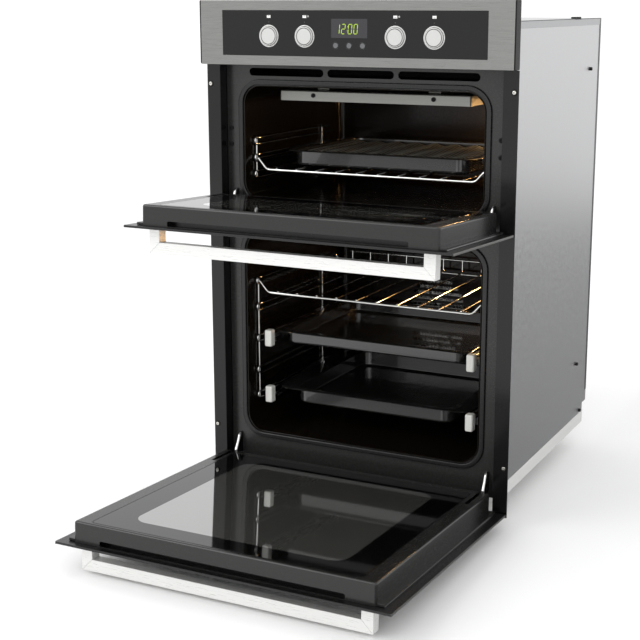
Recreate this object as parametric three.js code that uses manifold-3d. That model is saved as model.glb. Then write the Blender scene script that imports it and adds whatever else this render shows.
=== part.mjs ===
// Built-in double oven: a grill oven over a fan oven, each behind a drop-down door.
// Millimetres. +X is right, +Y goes into the cabinet, +Z is up. The origin is the middle of
// the carcass base, on its underside. A depth is counted back from the front's outer face.
import * as THREE from 'three';
import { mergeVertices } from 'three/addons/utils/BufferGeometryUtils.js';
import Module from 'manifold-3d';

const wasm = await Module();
wasm.setup();

// ---- driving dimensions ----
const FACE_Y = -287;            // outer face of the fascia and the closed doors
const FRONT_HALF = 297.5;       // half the width of the front
const CARCASS_HALF = 279;
const CARCASS_BACK = 283;
const CARCASS_TOP = 829.7;
const BASE_TOP = 25;
const SHEET = 1.2;              // pressed steel sheet
const GAP = 0.3;                // clearance between pieces that touch
const FLANGE_DEPTH = 22;        // front of the trim strips
const FRAME_DEPTH = 45;         // front of the enamelled frame plate
const FRAME_HALF = 269.7;
const FRAME_THICK = 2;
const TRIM_INNER = 270.5;
const TRIM_BOTTOM = -24;
const FASCIA = { bottom: 751, top: 864 };
const PANEL_GLASS = { half: 250, bottom: 768, top: 846, thick: 4 };
const CONTROL_Z = 802;
const KNOB_RADIUS = 16.4;
const BUTTON_RADIUS = 5;
const BUTTON_Z = 787;
const BOARD_DEPTH = 26;
const CAVITY = { half: 232, wall: 2, corner: 33, lip: 43 };
const TOP_OVEN = { bottom: 505, top: 711, back: 434 };
const MAIN_OVEN = { bottom: 59, top: 441, back: 448 };
const SEAL = { inner: 235.5, width: 9, front: 40.7 };
const LADDER = { x: 225.5, wire: 2.2, pair: 12, front: 80, rear: 348 };
const TOP_LADDER_LEVELS = [540.5, 571.3, 602.5];
const MAIN_LADDER_LEVELS = [113, 163, 225.5, 287, 338];
const SHELF = { side: 223.2, wire: 2.5, cross: 1.8, drop: 20, front: 76, back: 396, pitch: 41, rows: 10 };
const FAN = { z: 250, shaft: 3.5 };
const PIVOT = { depth: 8, above: 10 };
const OPEN_ANGLE = 87 * Math.PI / 180;
const LOWER_DOOR = { bottom: -21, top: 471 };
const UPPER_DOOR = { bottom: 475, top: 748 };
const DOOR_PANEL = 4;           // thickness of a door's outer panel
const DOOR_FRAME = { half: 268.5, depth: 36, wall: 1.5, below: 4, above: 12 };
const DOOR_GLASS = { half: 240, thick: 4 };
const HINGE = { x: 252, thick: 6, eye: 3.4, pin: 2 };
const HANDLE = { half: 260, bar: 20, post: 20, reach: 44, below: 22 };
const WINDOW = { side: 62, corner: 30 };

// ---- colours ----
const STEEL = { color: 0xc4c4c2, roughness: 0.32, metalness: 1 };
const GALVANISED = { color: 0xb4b5b6, roughness: 0.45, metalness: 0.9 };
const ENAMEL = { color: 0x3a3a39, roughness: 0.3, metalness: 0.1 };
const CAVITY_ENAMEL = { color: 0x141312, roughness: 0.25, metalness: 0 };
const CHROME = { color: 0xd8d8d8, roughness: 0.15, metalness: 1 };
const BLACK_GLASS = { color: 0x111112, roughness: 0.05, metalness: 0 };
const RUBBER = { color: 0x151515, roughness: 0.8, metalness: 0 };
const SATIN = { color: 0xeeeeea, roughness: 0.4, metalness: 0.4 };
const BOARD = { color: 0x2c5a3a, roughness: 0.7, metalness: 0 };
const PLASTIC = { color: 0xe8e8e4, roughness: 0.45, metalness: 0 };
const ELEMENT = { color: 0x4a4744, roughness: 0.5, metalness: 0.7 };
const LENS = { color: 0xf2e3c0, roughness: 0.1, metalness: 0 };

// ---- tools ----
const at = (depth) => FACE_Y + depth;
const X_AXIS = new THREE.Vector3(1, 0, 0);
const Y_AXIS = new THREE.Vector3(0, 1, 0);
const Z_AXIS = new THREE.Vector3(0, 0, 1);

function solid(geometry) {
  geometry.deleteAttribute('normal');
  geometry.deleteAttribute('uv');
  const merged = mergeVertices(geometry, 1e-4);
  return new wasm.Manifold(new wasm.Mesh({
    numProp: 3,
    vertProperties: new Float32Array(merged.attributes.position.array),
    triVerts: new Uint32Array(merged.index.array),
  }));
}

function piece(name, shape, finish) {
  const mesh = shape.getMesh();
  const geometry = new THREE.BufferGeometry();
  geometry.setAttribute('position', new THREE.BufferAttribute(mesh.vertProperties, 3));
  geometry.setIndex(new THREE.BufferAttribute(mesh.triVerts, 1));
  geometry.computeVertexNormals();
  const result = new THREE.Mesh(geometry, new THREE.MeshStandardMaterial(finish));
  result.name = name;
  return result;
}

const join = (parts) => parts.reduce((whole, part) => whole.add(part));
const cut = (body, holes) => holes.reduce((whole, hole) => whole.subtract(hole), body);

function box(x0, x1, y0, y1, z0, z1) {
  const geometry = new THREE.BoxGeometry(x1 - x0, y1 - y0, z1 - z0);
  geometry.translate((x0 + x1) / 2, (y0 + y1) / 2, (z0 + z1) / 2);
  return solid(geometry);
}

// An outline drawn in X and Z, made solid from y0 to y1.
function facingPlate(outline, y0, y1, curveSegments = 4) {
  const geometry = new THREE.ExtrudeGeometry(outline, {
    depth: y1 - y0, bevelEnabled: false, curveSegments,
  });
  geometry.applyMatrix4(new THREE.Matrix4().makeBasis(X_AXIS, Z_AXIS, Y_AXIS.clone().negate()));
  geometry.translate(0, y1, 0);
  return solid(geometry);
}

// An outline drawn in Y and Z, made solid from x0 to x1.
function sidePlate(outline, x0, x1) {
  const geometry = new THREE.ExtrudeGeometry(outline, {
    depth: x1 - x0, bevelEnabled: false, curveSegments: 5,
  });
  geometry.applyMatrix4(new THREE.Matrix4().makeBasis(Y_AXIS, Z_AXIS, X_AXIS));
  geometry.translate(x0, 0, 0);
  return solid(geometry);
}

// An outline drawn in X and Y, made solid from z0 to z1.
function flatPlate(outline, z0, z1) {
  const geometry = new THREE.ExtrudeGeometry(outline, {
    depth: z1 - z0, bevelEnabled: false, curveSegments: 3,
  });
  geometry.translate(0, 0, z0);
  return solid(geometry);
}

function roundedOutline(x0, x1, z0, z1, radius) {
  const outline = new THREE.Shape();
  outline.moveTo(x0 + radius, z0);
  outline.lineTo(x1 - radius, z0);
  outline.absarc(x1 - radius, z0 + radius, radius, -Math.PI / 2, 0);
  outline.lineTo(x1, z1 - radius);
  outline.absarc(x1 - radius, z1 - radius, radius, 0, Math.PI / 2);
  outline.lineTo(x0 + radius, z1);
  outline.absarc(x0 + radius, z1 - radius, radius, Math.PI / 2, Math.PI);
  outline.lineTo(x0, z0 + radius);
  outline.absarc(x0 + radius, z0 + radius, radius, Math.PI, Math.PI * 1.5);
  return outline;
}

function outlineOf(points) {
  return new THREE.Shape(points.map(([u, v]) => new THREE.Vector2(u, v)));
}

// A round bar from one point to another; it runs `past` beyond both ends.
function rod(from, to, radius, past = 0, sides = 4) {
  const start = new THREE.Vector3(...from);
  const end = new THREE.Vector3(...to);
  const way = end.clone().sub(start);
  const geometry = new THREE.CylinderGeometry(radius, radius, way.length() + 2 * past, sides);
  const turn = new THREE.Quaternion().setFromUnitVectors(Y_AXIS, way.clone().normalize());
  geometry.applyQuaternion(turn);
  const middle = start.add(end).multiplyScalar(0.5);
  geometry.translate(middle.x, middle.y, middle.z);
  return solid(geometry);
}

function bentWire(points, radius) {
  const rods = points.slice(1).map((point, i) => rod(points[i], point, radius, radius * 0.45));
  return join(rods);
}

// A profile of [radius, distance along the axis] turned round, with its axis along +Y.
function turned(profile, segments) {
  const points = profile.map(([radius, along]) => new THREE.Vector2(radius, along));
  return solid(new THREE.LatheGeometry(points, segments));
}

// ---- carcass ----
function sidePanel(side) {
  const front = at(FRAME_DEPTH + FRAME_THICK + GAP);
  const outline = outlineOf([
    [front, BASE_TOP + GAP], [CARCASS_BACK - 24, BASE_TOP + GAP], [CARCASS_BACK - 24, 42],
    [CARCASS_BACK, 42], [CARCASS_BACK, CARCASS_TOP], [front, CARCASS_TOP],
  ]);
  const inner = side * (CARCASS_HALF - SHEET);
  const outer = side * CARCASS_HALF;
  return sidePlate(outline, Math.min(inner, outer), Math.max(inner, outer));
}

function topCover() {
  const half = CARCASS_HALF - SHEET - GAP;
  const front = at(FRAME_DEPTH + FRAME_THICK + GAP);
  const back = CARCASS_BACK - SHEET - GAP;
  const sheet = box(-half, half, front, back, CARCASS_TOP - SHEET, CARCASS_TOP);
  const rib = box(-half, half, 0, 14, CARCASS_TOP - 8, CARCASS_TOP - 0.4);
  return join([sheet, rib]);
}

const TERMINAL = { x0: 150, x1: 216, z0: 600, z1: 676 };

function backCover() {
  const half = CARCASS_HALF - SHEET - GAP;
  const back = CARCASS_BACK;
  const sheet = box(-half, half, back - SHEET, back, 42 + GAP, CARCASS_TOP);
  const louvres = [];
  for (let row = 0; row < 5; row += 1) {
    for (const x of [-130, 0, 130]) {
      const z = 722 + row * 18;
      louvres.push(box(x - 45, x + 45, back - 3, back + 2, z, z + 6));
    }
  }
  const inlet = box(TERMINAL.x0, TERMINAL.x1, back - 3, back + 2, TERMINAL.z0, TERMINAL.z1);
  return cut(sheet, [...louvres, inlet]);
}

function terminalBlock() {
  const clear = GAP + 0.2;
  const block = box(TERMINAL.x0 + clear, TERMINAL.x1 - clear, CARCASS_BACK - 26, CARCASS_BACK - 0.3,
    TERMINAL.z0 + clear, TERMINAL.z1 - clear);
  const wells = [-20, 0, 20].map((offset) => {
    const x = (TERMINAL.x0 + TERMINAL.x1) / 2 + offset;
    return box(x - 6, x + 6, CARCASS_BACK - 18, CARCASS_BACK + 1, TERMINAL.z0 + 26, TERMINAL.z1 - 12);
  });
  return cut(block, wells);
}

function baseTray() {
  const front = at(FRAME_DEPTH + FRAME_THICK + GAP);
  const back = CARCASS_BACK - 20;
  const block = box(-CARCASS_HALF, CARCASS_HALF, front, back, 0, BASE_TOP);
  const inner = CARCASS_HALF - SHEET;
  const hollow = box(-inner, inner, front + SHEET, back - SHEET, SHEET, BASE_TOP + 1);
  const hookSlots = [-HINGE.x, HINGE.x].map((x) => {
    const reach = HINGE.thick / 2 + GAP;
    return box(x - reach, x + reach, front - 1, front + SHEET + 1, HINGE_HOOK.lower[0] - GAP, BASE_TOP + 1);
  });
  return cut(block, [hollow, ...hookSlots]);
}

const VENT_SLOTS = [[-222, -72], [-64, 64], [72, 222]];
const VENT_Z = [730, 744];

function ovenMouth(oven, grow) {
  const out = CAVITY.wall + grow;
  return roundedOutline(-CAVITY.half - out, CAVITY.half + out, oven.bottom - out,
    oven.top + out, CAVITY.corner + out);
}

function frontFrame() {
  const y0 = at(FRAME_DEPTH);
  const y1 = y0 + FRAME_THICK;
  const plate = box(-FRAME_HALF, FRAME_HALF, y0, y1, GAP, CARCASS_TOP - GAP);
  const holes = [TOP_OVEN, MAIN_OVEN].map((oven) => (
    facingPlate(ovenMouth(oven, GAP), y0 - 1, y1 + 1)));
  for (const [x0, x1] of VENT_SLOTS) {
    holes.push(facingPlate(roundedOutline(x0, x1, ...VENT_Z, 6.9), y0 - 1, y1 + 1, 3));
  }
  for (const hook of [HINGE_HOOK.upper, HINGE_HOOK.lower]) {
    for (const side of [-1, 1]) {
      const reach = HINGE.thick / 2 + GAP;
      const x = side * HINGE.x;
      holes.push(box(x - reach, x + reach, y0 - 1, y1 + 1, hook[0] - GAP, hook[1] + GAP));
    }
  }
  for (const x of [-KNOB_X[0], KNOB_X[1], -KNOB_X[1], KNOB_X[0]]) {
    holes.push(box(x - 15, x + 15, y0 - 1, y1 + 1, CONTROL_Z - 15, CONTROL_Z + 15));
  }
  return cut(plate, holes);
}

function trimStrip(side) {
  const flange = box(TRIM_INNER, FRONT_HALF, at(FLANGE_DEPTH), at(FLANGE_DEPTH + FRAME_THICK),
    TRIM_BOTTOM, FASCIA.bottom - GAP);
  const web = box(TRIM_INNER, TRIM_INNER + 1.5, at(FLANGE_DEPTH + 0.5), at(FRAME_DEPTH + FRAME_THICK),
    TRIM_BOTTOM, FASCIA.bottom - GAP);
  const strip = join([flange, web]);
  return side > 0 ? strip : strip.mirror([1, 0, 0]);
}

// ---- control panel ----
const KNOB_X = [156, 85.6];
const KNOB_PLACES = [-KNOB_X[0], -KNOB_X[1], KNOB_X[1], KNOB_X[0]];
const BUTTON_PLACES = [-25.5, 0, 25.5];

function controlFascia() {
  const { bottom, top } = FASCIA;
  const shell = box(-FRONT_HALF, FRONT_HALF, at(0), at(FLANGE_DEPTH), bottom, top);
  const hollow = box(-FRONT_HALF + SHEET, FRONT_HALF - SHEET, at(SHEET), at(FLANGE_DEPTH + 1),
    bottom + SHEET, top - SHEET);
  const opening = box(-PANEL_GLASS.half, PANEL_GLASS.half, at(-1), at(2),
    PANEL_GLASS.bottom, PANEL_GLASS.top);
  const ledge = box(-FRAME_HALF + 3, FRAME_HALF - 3, at(FLANGE_DEPTH - 2), at(FRAME_DEPTH - GAP),
    bottom, bottom + SHEET);
  return join([cut(shell, [hollow, opening]), ledge]);
}

function roundHole(x, z, radius, depth0, depth1, segments) {
  const hole = turned([[0, 0], [radius, 0], [radius, depth1 - depth0], [0, depth1 - depth0]], segments);
  return hole.translate([x, at(depth0), z]);
}

function controlGlass() {
  const { half, bottom, top, thick } = PANEL_GLASS;
  const glass = box(-half + GAP, half - GAP, at(0.2), at(0.2 + thick), bottom + GAP, top - GAP);
  const knobHoles = KNOB_PLACES.map((x) => roundHole(x, CONTROL_Z, KNOB_RADIUS + 0.6, -1, 8, 16));
  const buttonHoles = BUTTON_PLACES.map((x) => roundHole(x, BUTTON_Z, BUTTON_RADIUS + 0.4, -1, 8, 10));
  return cut(glass, [...knobHoles, ...buttonHoles]);
}

// The circuit board with the clock module in front of it and a rotary switch behind each knob.
function controlBoard() {
  const board = box(-240, 240, at(BOARD_DEPTH), at(BOARD_DEPTH + 1.6), 774, 842);
  const clock = box(-33, 33, at(5), at(BOARD_DEPTH + 0.5), 803, 830);
  const switches = KNOB_PLACES.map((x) => (
    box(x - 13, x + 13, at(BOARD_DEPTH + 1), at(FRAME_DEPTH + 15), CONTROL_Z - 13, CONTROL_Z + 13)));
  const bores = KNOB_PLACES.map((x) => roundHole(x, CONTROL_Z, 3.4, BOARD_DEPTH - 1, 40, 10));
  return cut(join([board, clock, ...switches]), bores);
}

const spindle = () => turned([[0, 7], [3, 7], [3, 39.5], [0, 39.5]], 10);

// A pop-out knob: a cap with a long skirt, bored from behind for its spindle.
function knob() {
  const r = KNOB_RADIUS;
  return turned([
    [0, -2.6], [r - 1.8, -2.6], [r, -1], [r, 19], [r - 2, 19],
    [r - 2, 4], [6, 4], [6, 18], [3.4, 18], [3.4, 2.4], [0, 2.4],
  ], 16);
}

function button() {
  const r = BUTTON_RADIUS;
  return turned([[0, -0.8], [r - 0.8, -0.8], [r, 0], [r, 14], [0, 14]], 10);
}

// ---- ovens ----
// An enamelled liner: a rounded box with its front open.
function cavity(oven, holes) {
  const outside = facingPlate(ovenMouth(oven, 0), at(CAVITY.lip), at(oven.back + CAVITY.wall));
  const inside = facingPlate(ovenMouth(oven, -CAVITY.wall), at(CAVITY.lip - 1), at(oven.back));
  return cut(outside, [inside, ...holes]);
}

function doorSeal(oven) {
  const outer = ovenMouth(oven, SEAL.inner + SEAL.width - CAVITY.half - CAVITY.wall);
  outer.holes.push(ovenMouth(oven, SEAL.inner - CAVITY.half - CAVITY.wall));
  return facingPlate(outer, at(SEAL.front), at(FRAME_DEPTH - GAP));
}

function ladder(side, levels) {
  const x = side * LADDER.x;
  const stileX = side * (LADDER.x + LADDER.wire * 1.65);
  const low = levels[0] - 3;
  const high = levels[levels.length - 1] + LADDER.pair + 3;
  const wires = [LADDER.front, LADDER.rear].map((depth) => (
    rod([stileX, at(depth), low], [stileX, at(depth), high], LADDER.wire)));
  for (const level of levels) {
    for (const z of [level, level + LADDER.pair]) {
      wires.push(rod([x, at(LADDER.front - 9), z], [x, at(LADDER.rear + 24), z], LADDER.wire));
    }
  }
  return join(wires);
}

// A chromed shelf: its side wires ride in a ladder pair and its floor is dropped below them.
function wireShelf(level) {
  const railZ = level + LADDER.wire + SHELF.wire + GAP + 0.1;
  const floorZ = railZ - SHELF.drop;
  const inner = SHELF.side - SHELF.drop * 0.9;
  const front = at(SHELF.front);
  const back = at(SHELF.back);
  const parts = [];
  for (const y of [front, back]) {
    parts.push(bentWire([[-SHELF.side, y, railZ], [-inner, y, floorZ], [inner, y, floorZ],
      [SHELF.side, y, railZ]], SHELF.wire));
  }
  for (const side of [-1, 1]) {
    const x = side * SHELF.side;
    parts.push(rod([x, front - 3.3, railZ + 0.1], [x, back + 3.1, railZ + 0.1], SHELF.wire - 0.1));
  }
  const fenceZ = railZ + 8;
  const span = SHELF.pitch * (SHELF.rows - 1) / 2;
  for (let i = 0; i < SHELF.rows; i += 1) {
    const x = i * SHELF.pitch - span;
    const z = floorZ + SHELF.wire * 0.9;
    const heel = back + SHELF.wire + 0.8;
    parts.push(bentWire([[x, front - 1, z], [x, heel, z], [x, heel, fenceZ]], SHELF.cross));
  }
  const fence = rod([-span - 4, back + 5.8, fenceZ - 1], [span + 4, back + 5.8, fenceZ - 1], 2);
  return join([...parts, fence]);
}

// A pressed pan: sloping sides, a flat floor and a flat rim.
function pan({ half, front, back, floor, rim, side, ends, corner }) {
  const outline = (sideGrow, endGrow, radius) => roundedOutline(-half - sideGrow, half + sideGrow,
    at(front) - endGrow, at(back) + endGrow, radius);
  const body = flatPlate(outline(0, 0, corner), floor, rim - 0.5);
  const lip = flatPlate(outline(side, ends, 6), rim - 1.5, rim);
  const hollow = flatPlate(outline(-1.5, -1.5, corner - 1.5), floor + 1.5, rim + 1);
  return cut(join([body, lip]), [hollow]);
}

function slideRail(side, z) {
  const bar = box(199, 208, at(80), at(392), z - 9, z + 11);
  const cap = facingPlate(roundedOutline(197.5, 212.5, z - 16, z + 16, 3), at(70), at(84), 2);
  const rail = join([bar, cap]);
  return side > 0 ? rail : rail.mirror([1, 0, 0]);
}

const GRILL = { half: 187, front: 95, back: 398, low: 684, high: 703 };

// A bent steel roof over the grill element, with a deep front edge and two stand-offs.
function grillReflector() {
  const { half, front, back, low, high } = GRILL;
  const roof = box(-half, half, at(front), at(back), high - 1, high);
  const edge = box(-half, half, at(front), at(front + SHEET), low, high);
  const ends = [-1, 1].map((side) => {
    const outer = side * half;
    const inner = side * (half - SHEET);
    return box(Math.min(inner, outer), Math.max(inner, outer), at(front), at(back), low + 8, high);
  });
  const feet = [-110, 110].map((x) => (
    box(x - 12, x + 12, at(120), at(150), high - 0.5, TOP_OVEN.top - GAP)));
  return join([roof, edge, ...ends, ...feet]);
}

function grillElement() {
  const runs = 6;
  const pitch = 56;
  const near = at(GRILL.front + 18);
  const far = at(GRILL.back - 22);
  const z = 692;
  const points = [];
  for (let i = 0; i < runs; i += 1) {
    const x = (i - (runs - 1) / 2) * pitch;
    const ends = i % 2 === 0 ? [far, near] : [near, far];
    points.push([x, ends[0], z], [x, ends[1], z]);
  }
  return bentWire(points, 3.4);
}

function fanCover() {
  const half = 150;
  const front = at(MAIN_OVEN.back - 28);
  const back = at(MAIN_OVEN.back - GAP);
  const shell = facingPlate(roundedOutline(-half, half, FAN.z - 130, FAN.z + 130, 24), front, back);
  const inner = half - SHEET;
  const hollow = facingPlate(roundedOutline(-inner, inner, FAN.z - 130 + SHEET, FAN.z + 130 - SHEET, 23),
    front + SHEET, back + 1);
  const slots = [];
  for (let i = -4; i <= 4; i += 1) {
    const reach = Math.sqrt(58 * 58 - (i * 12) ** 2);
    const z = FAN.z + i * 12;
    slots.push(box(-reach, reach, front - 1, front + 3, z - 3, z + 3));
  }
  return cut(shell, [hollow, ...slots]);
}

function fanMotor() {
  const can = turned([[0, 0], [34, 0], [34, 46], [0, 46]], 20);
  const shaft = turned([[0, -34], [FAN.shaft, -34], [FAN.shaft, 1], [0, 1]], 10);
  const plate = box(-48, 48, -0.01, 2, -12, 12);
  return join([can, shaft, plate]).translate([0, at(MAIN_OVEN.back + CAVITY.wall + 12), FAN.z]);
}

// Eight straight blades on a disc whose hub slips over the motor shaft.
function fanBlade() {
  const disc = turned([[FAN.shaft + 0.4, 0], [72, 0], [72, 1.2], [FAN.shaft + 0.4, 1.2],
    [FAN.shaft + 0.4, 0]], 24);
  const hub = turned([[FAN.shaft + 0.4, -3], [9, -3], [9, 6], [FAN.shaft + 0.4, 6],
    [FAN.shaft + 0.4, -3]], 16);
  const blades = [];
  for (let i = 0; i < 8; i += 1) {
    blades.push(box(26, 70, -11, 0.5, -0.7, 0.7).rotate([0, i * 45, 0]));
  }
  return join([disc, hub, ...blades]);
}

function ringElement() {
  const section = [];
  for (let i = 0; i <= 6; i += 1) {
    const angle = (i / 6) * 2 * Math.PI;
    section.push([96 + 3.6 * Math.cos(angle), 3.6 * Math.sin(angle)]);
  }
  const ring = turned(section, 24);
  const tails = [-10, 10].map((x) => rod([x, 0, 95], [x, 15.5, 95], 3));
  return join([ring, ...tails]).translate([0, at(MAIN_OVEN.back - 16), FAN.z]);
}

// A screw-in lamp lens: a flange on the rear wall and a ribbed glass dome.
function lampLens() {
  return turned([[0, -19], [12, -18], [20, -13], [24, -5], [26, -5], [26, 0], [0, 0]], 14);
}

// ---- doors, modelled closed, then turned open about their pivots ----
const doorPivot = (door) => new THREE.Vector3(0, at(PIVOT.depth), door.bottom + PIVOT.above);
const HINGE_HOOK = { upper: [492, 522], lower: [10, 48] };

function outerPanel(door) {
  return facingPlate(roundedOutline(-FRONT_HALF, FRONT_HALF, door.bottom, door.top, 2),
    at(0), at(DOOR_PANEL), 2);
}

// A pressed steel tray open towards the outer panel, with a window through it.
function doorFrame(door) {
  const { half, depth, wall, below, above } = DOOR_FRAME;
  const bottom = door.bottom + below;
  const top = door.top - above;
  const front = at(DOOR_PANEL + GAP);
  const side = WINDOW.side;
  const sill = bottom + 58;
  const head = top - 44;
  const body = facingPlate(roundedOutline(-half, half, bottom, top, 5), front, at(depth), 3);
  const channel = facingPlate(roundedOutline(-half + wall, half - wall, bottom + wall, top - wall, 4),
    front - 1, at(depth - wall), 3);
  const collar = facingPlate(roundedOutline(-half + side, half - side, sill, head, WINDOW.corner),
    front, at(depth - 0.5));
  const light = facingPlate(roundedOutline(-half + side + wall, half - side - wall, sill + wall,
    head - wall, WINDOW.corner - wall), front - 1, at(depth + 1));
  const bosses = [-1, 1].flatMap((way) => [247, 257].map((x) => (
    box(way * x - 1.2, way * x + 1.2, front + 0.2, at(depth - 1), bottom + 0.5, bottom + 44))));
  const ventSlot = box(-218, 218, at(6), at(13), top - 5, top + 2);
  const pocketTop = door.bottom + PIVOT.above + 70;
  const pockets = [-1, 1].map((way) => (
    box(way * HINGE.x - 3.6, way * HINGE.x + 3.6, front - 1, at(depth + 1), bottom - 2, pocketTop)));
  const pinHoles = [-1, 1].map((way) => (
    rod([way * HINGE.x - 9, at(PIVOT.depth), door.bottom + PIVOT.above],
      [way * HINGE.x + 9, at(PIVOT.depth), door.bottom + PIVOT.above], HINGE.pin + 0.4, 0, 12)));
  return cut(join([cut(body, [channel]), collar, ...bosses]), [light, ventSlot, ...pockets, ...pinHoles]);
}

function innerGlass(door) {
  return facingPlate(roundedOutline(-DOOR_GLASS.half, DOOR_GLASS.half, door.bottom + 24,
    door.top - 20, 8), at(DOOR_FRAME.depth + GAP), at(DOOR_FRAME.depth + GAP + DOOR_GLASS.thick), 3);
}

// A rectangular tube handle with mitred corners on two posts.
function handle(door) {
  const { half, bar, post, reach, below } = HANDLE;
  const outline = outlineOf([
    [-half, at(-reach)], [half, at(-reach)], [half, at(-GAP)], [half - post, at(-GAP)],
    [half - post, at(bar - reach)], [post - half, at(bar - reach)], [post - half, at(-GAP)],
    [-half, at(-GAP)],
  ]);
  return flatPlate(outline, door.top - below - bar, door.top - below);
}

// The steel arm that hooks into the frame plate and carries the door's pivot pin.
function hingeArm(door, hook) {
  const y = at(PIVOT.depth);
  const z = door.bottom + PIVOT.above;
  const outline = outlineOf([
    [y - 2, z - HINGE.eye], [y + 4, z - HINGE.eye], [at(30), hook[0] + 3],
    [at(FRAME_DEPTH - 4), hook[0]], [at(FRAME_DEPTH + 16), hook[0]], [at(FRAME_DEPTH + 16), hook[1]],
    [at(FRAME_DEPTH - 4), hook[1]], [at(30), hook[0] + 17], [y + 1, z + HINGE.eye],
    [y - HINGE.eye + 0.6, z + 1.8], [y - HINGE.eye + 0.4, z - 1],
  ]);
  const arm = sidePlate(outline, -HINGE.thick / 2, HINGE.thick / 2);
  const pin = rod([-5.6, y, z], [5.6, y, z], HINGE.pin, 0, 12);
  return join([arm, pin]);
}

function buildDoor(prefix, door) {
  const group = new THREE.Group();
  const pivot = doorPivot(door);
  const inner = new THREE.Group();
  inner.position.copy(pivot).negate();
  inner.add(
    piece(`${prefix}_door_panel`, outerPanel(door), STEEL),
    piece(`${prefix}_door_frame`, doorFrame(door), ENAMEL),
    piece(`${prefix}_door_glass`, innerGlass(door), BLACK_GLASS),
    piece(`${prefix}_door_handle`, handle(door), SATIN),
  );
  group.add(inner);
  group.position.copy(pivot);
  group.rotation.x = OPEN_ANGLE;
  return group;
}

// ---- assembly ----
const oven = new THREE.Group();

for (const [word, side] of [['left', -1], ['right', 1]]) {
  oven.add(
    piece(`side_panel_${word}`, sidePanel(side), GALVANISED),
    piece(`trim_strip_${word}`, trimStrip(side), ENAMEL),
    piece(`top_ladder_${word}`, ladder(side, TOP_LADDER_LEVELS), CHROME),
    piece(`main_ladder_${word}`, ladder(side, MAIN_LADDER_LEVELS), CHROME),
    piece(`upper_rail_${word}`, slideRail(side, 234), PLASTIC),
    piece(`lower_rail_${word}`, slideRail(side, 123), PLASTIC),
  );
  for (const [prefix, door] of [['upper', UPPER_DOOR], ['lower', LOWER_DOOR]]) {
    const arm = piece(`${prefix}_hinge_${word}`, hingeArm(door, HINGE_HOOK[prefix]), CHROME);
    arm.position.x = side * HINGE.x;
    oven.add(arm);
  }
}

oven.add(
  piece('top_cover', topCover(), GALVANISED),
  piece('back_cover', backCover(), GALVANISED),
  piece('terminal_block', terminalBlock(), PLASTIC),
  piece('base_tray', baseTray(), SATIN),
  piece('front_frame', frontFrame(), ENAMEL),
  piece('control_fascia', controlFascia(), STEEL),
  piece('control_glass', controlGlass(), BLACK_GLASS),
  piece('control_board', controlBoard(), BOARD),
);

const KNOB_NAMES = ['top_function', 'top_heat', 'main_heat', 'main_function'];
KNOB_NAMES.forEach((name, i) => {
  const shaft = piece(`${name}_spindle`, spindle(), ELEMENT);
  const cap = piece(`${name}_knob`, knob(), SATIN);
  for (const part of [shaft, cap]) {
    part.position.set(KNOB_PLACES[i], FACE_Y, CONTROL_Z);
    oven.add(part);
  }
});

['minus', 'set', 'plus'].forEach((name, i) => {
  const part = piece(`${name}_button`, button(), SATIN);
  part.position.set(BUTTON_PLACES[i], FACE_Y, BUTTON_Z);
  oven.add(part);
});

const shaftHole = turned([[0, -4], [6, -4], [6, 6], [0, 6]], 12)
  .translate([0, at(MAIN_OVEN.back), FAN.z]);

oven.add(
  piece('top_cavity', cavity(TOP_OVEN, []), CAVITY_ENAMEL),
  piece('top_seal', doorSeal(TOP_OVEN), RUBBER),
  piece('grill_reflector', grillReflector(), STEEL),
  piece('grill_element', grillElement(), ELEMENT),
  piece('top_shelf', wireShelf(TOP_LADDER_LEVELS[1]), CHROME),
  piece('main_cavity', cavity(MAIN_OVEN, [shaftHole]), CAVITY_ENAMEL),
  piece('main_seal', doorSeal(MAIN_OVEN), RUBBER),
  piece('main_shelf', wireShelf(MAIN_LADDER_LEVELS[4]), CHROME),
  piece('fan_cover', fanCover(), CAVITY_ENAMEL),
  piece('fan_motor', fanMotor(), GALVANISED),
  piece('ring_element', ringElement(), ELEMENT),
);

oven.add(
  piece('grill_pan', pan({
    half: 174, front: 118, back: 384, floor: 561.6, rim: 590, side: 14, ends: 8, corner: 24,
  }), CAVITY_ENAMEL),
  piece('upper_tray', pan({
    half: 180, front: 98, back: 400, floor: 222, rim: 247, side: 16.5, ends: 12, corner: 16,
  }), CAVITY_ENAMEL),
  piece('lower_tray', pan({
    half: 161, front: 98, back: 400, floor: 106, rim: 136, side: 35.5, ends: 12, corner: 24,
  }), CAVITY_ENAMEL),
);

const fan = piece('fan_blade', fanBlade(), STEEL);
fan.position.set(0, at(MAIN_OVEN.back - 9), FAN.z);
oven.add(fan);

for (const [name, x, z, back] of [
  ['top_lamp', 168, 655, TOP_OVEN.back], ['main_lamp', 183, 392, MAIN_OVEN.back]]) {
  const lamp = piece(name, lampLens(), LENS);
  lamp.position.set(x, at(back - GAP), z);
  oven.add(lamp);
}

oven.add(buildDoor('upper', UPPER_DOOR), buildDoor('lower', LOWER_DOOR));

export default oven;
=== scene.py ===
# Built-in double oven: the looks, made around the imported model.
# Sizes are millimetres unless a name says otherwise. +X is right, +Y goes into the cabinet and
# +Z is up. A depth is counted back from the front's outer face, as on the working drawing.
import math

import bmesh
import bpy
from mathutils import Matrix, Vector


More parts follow.
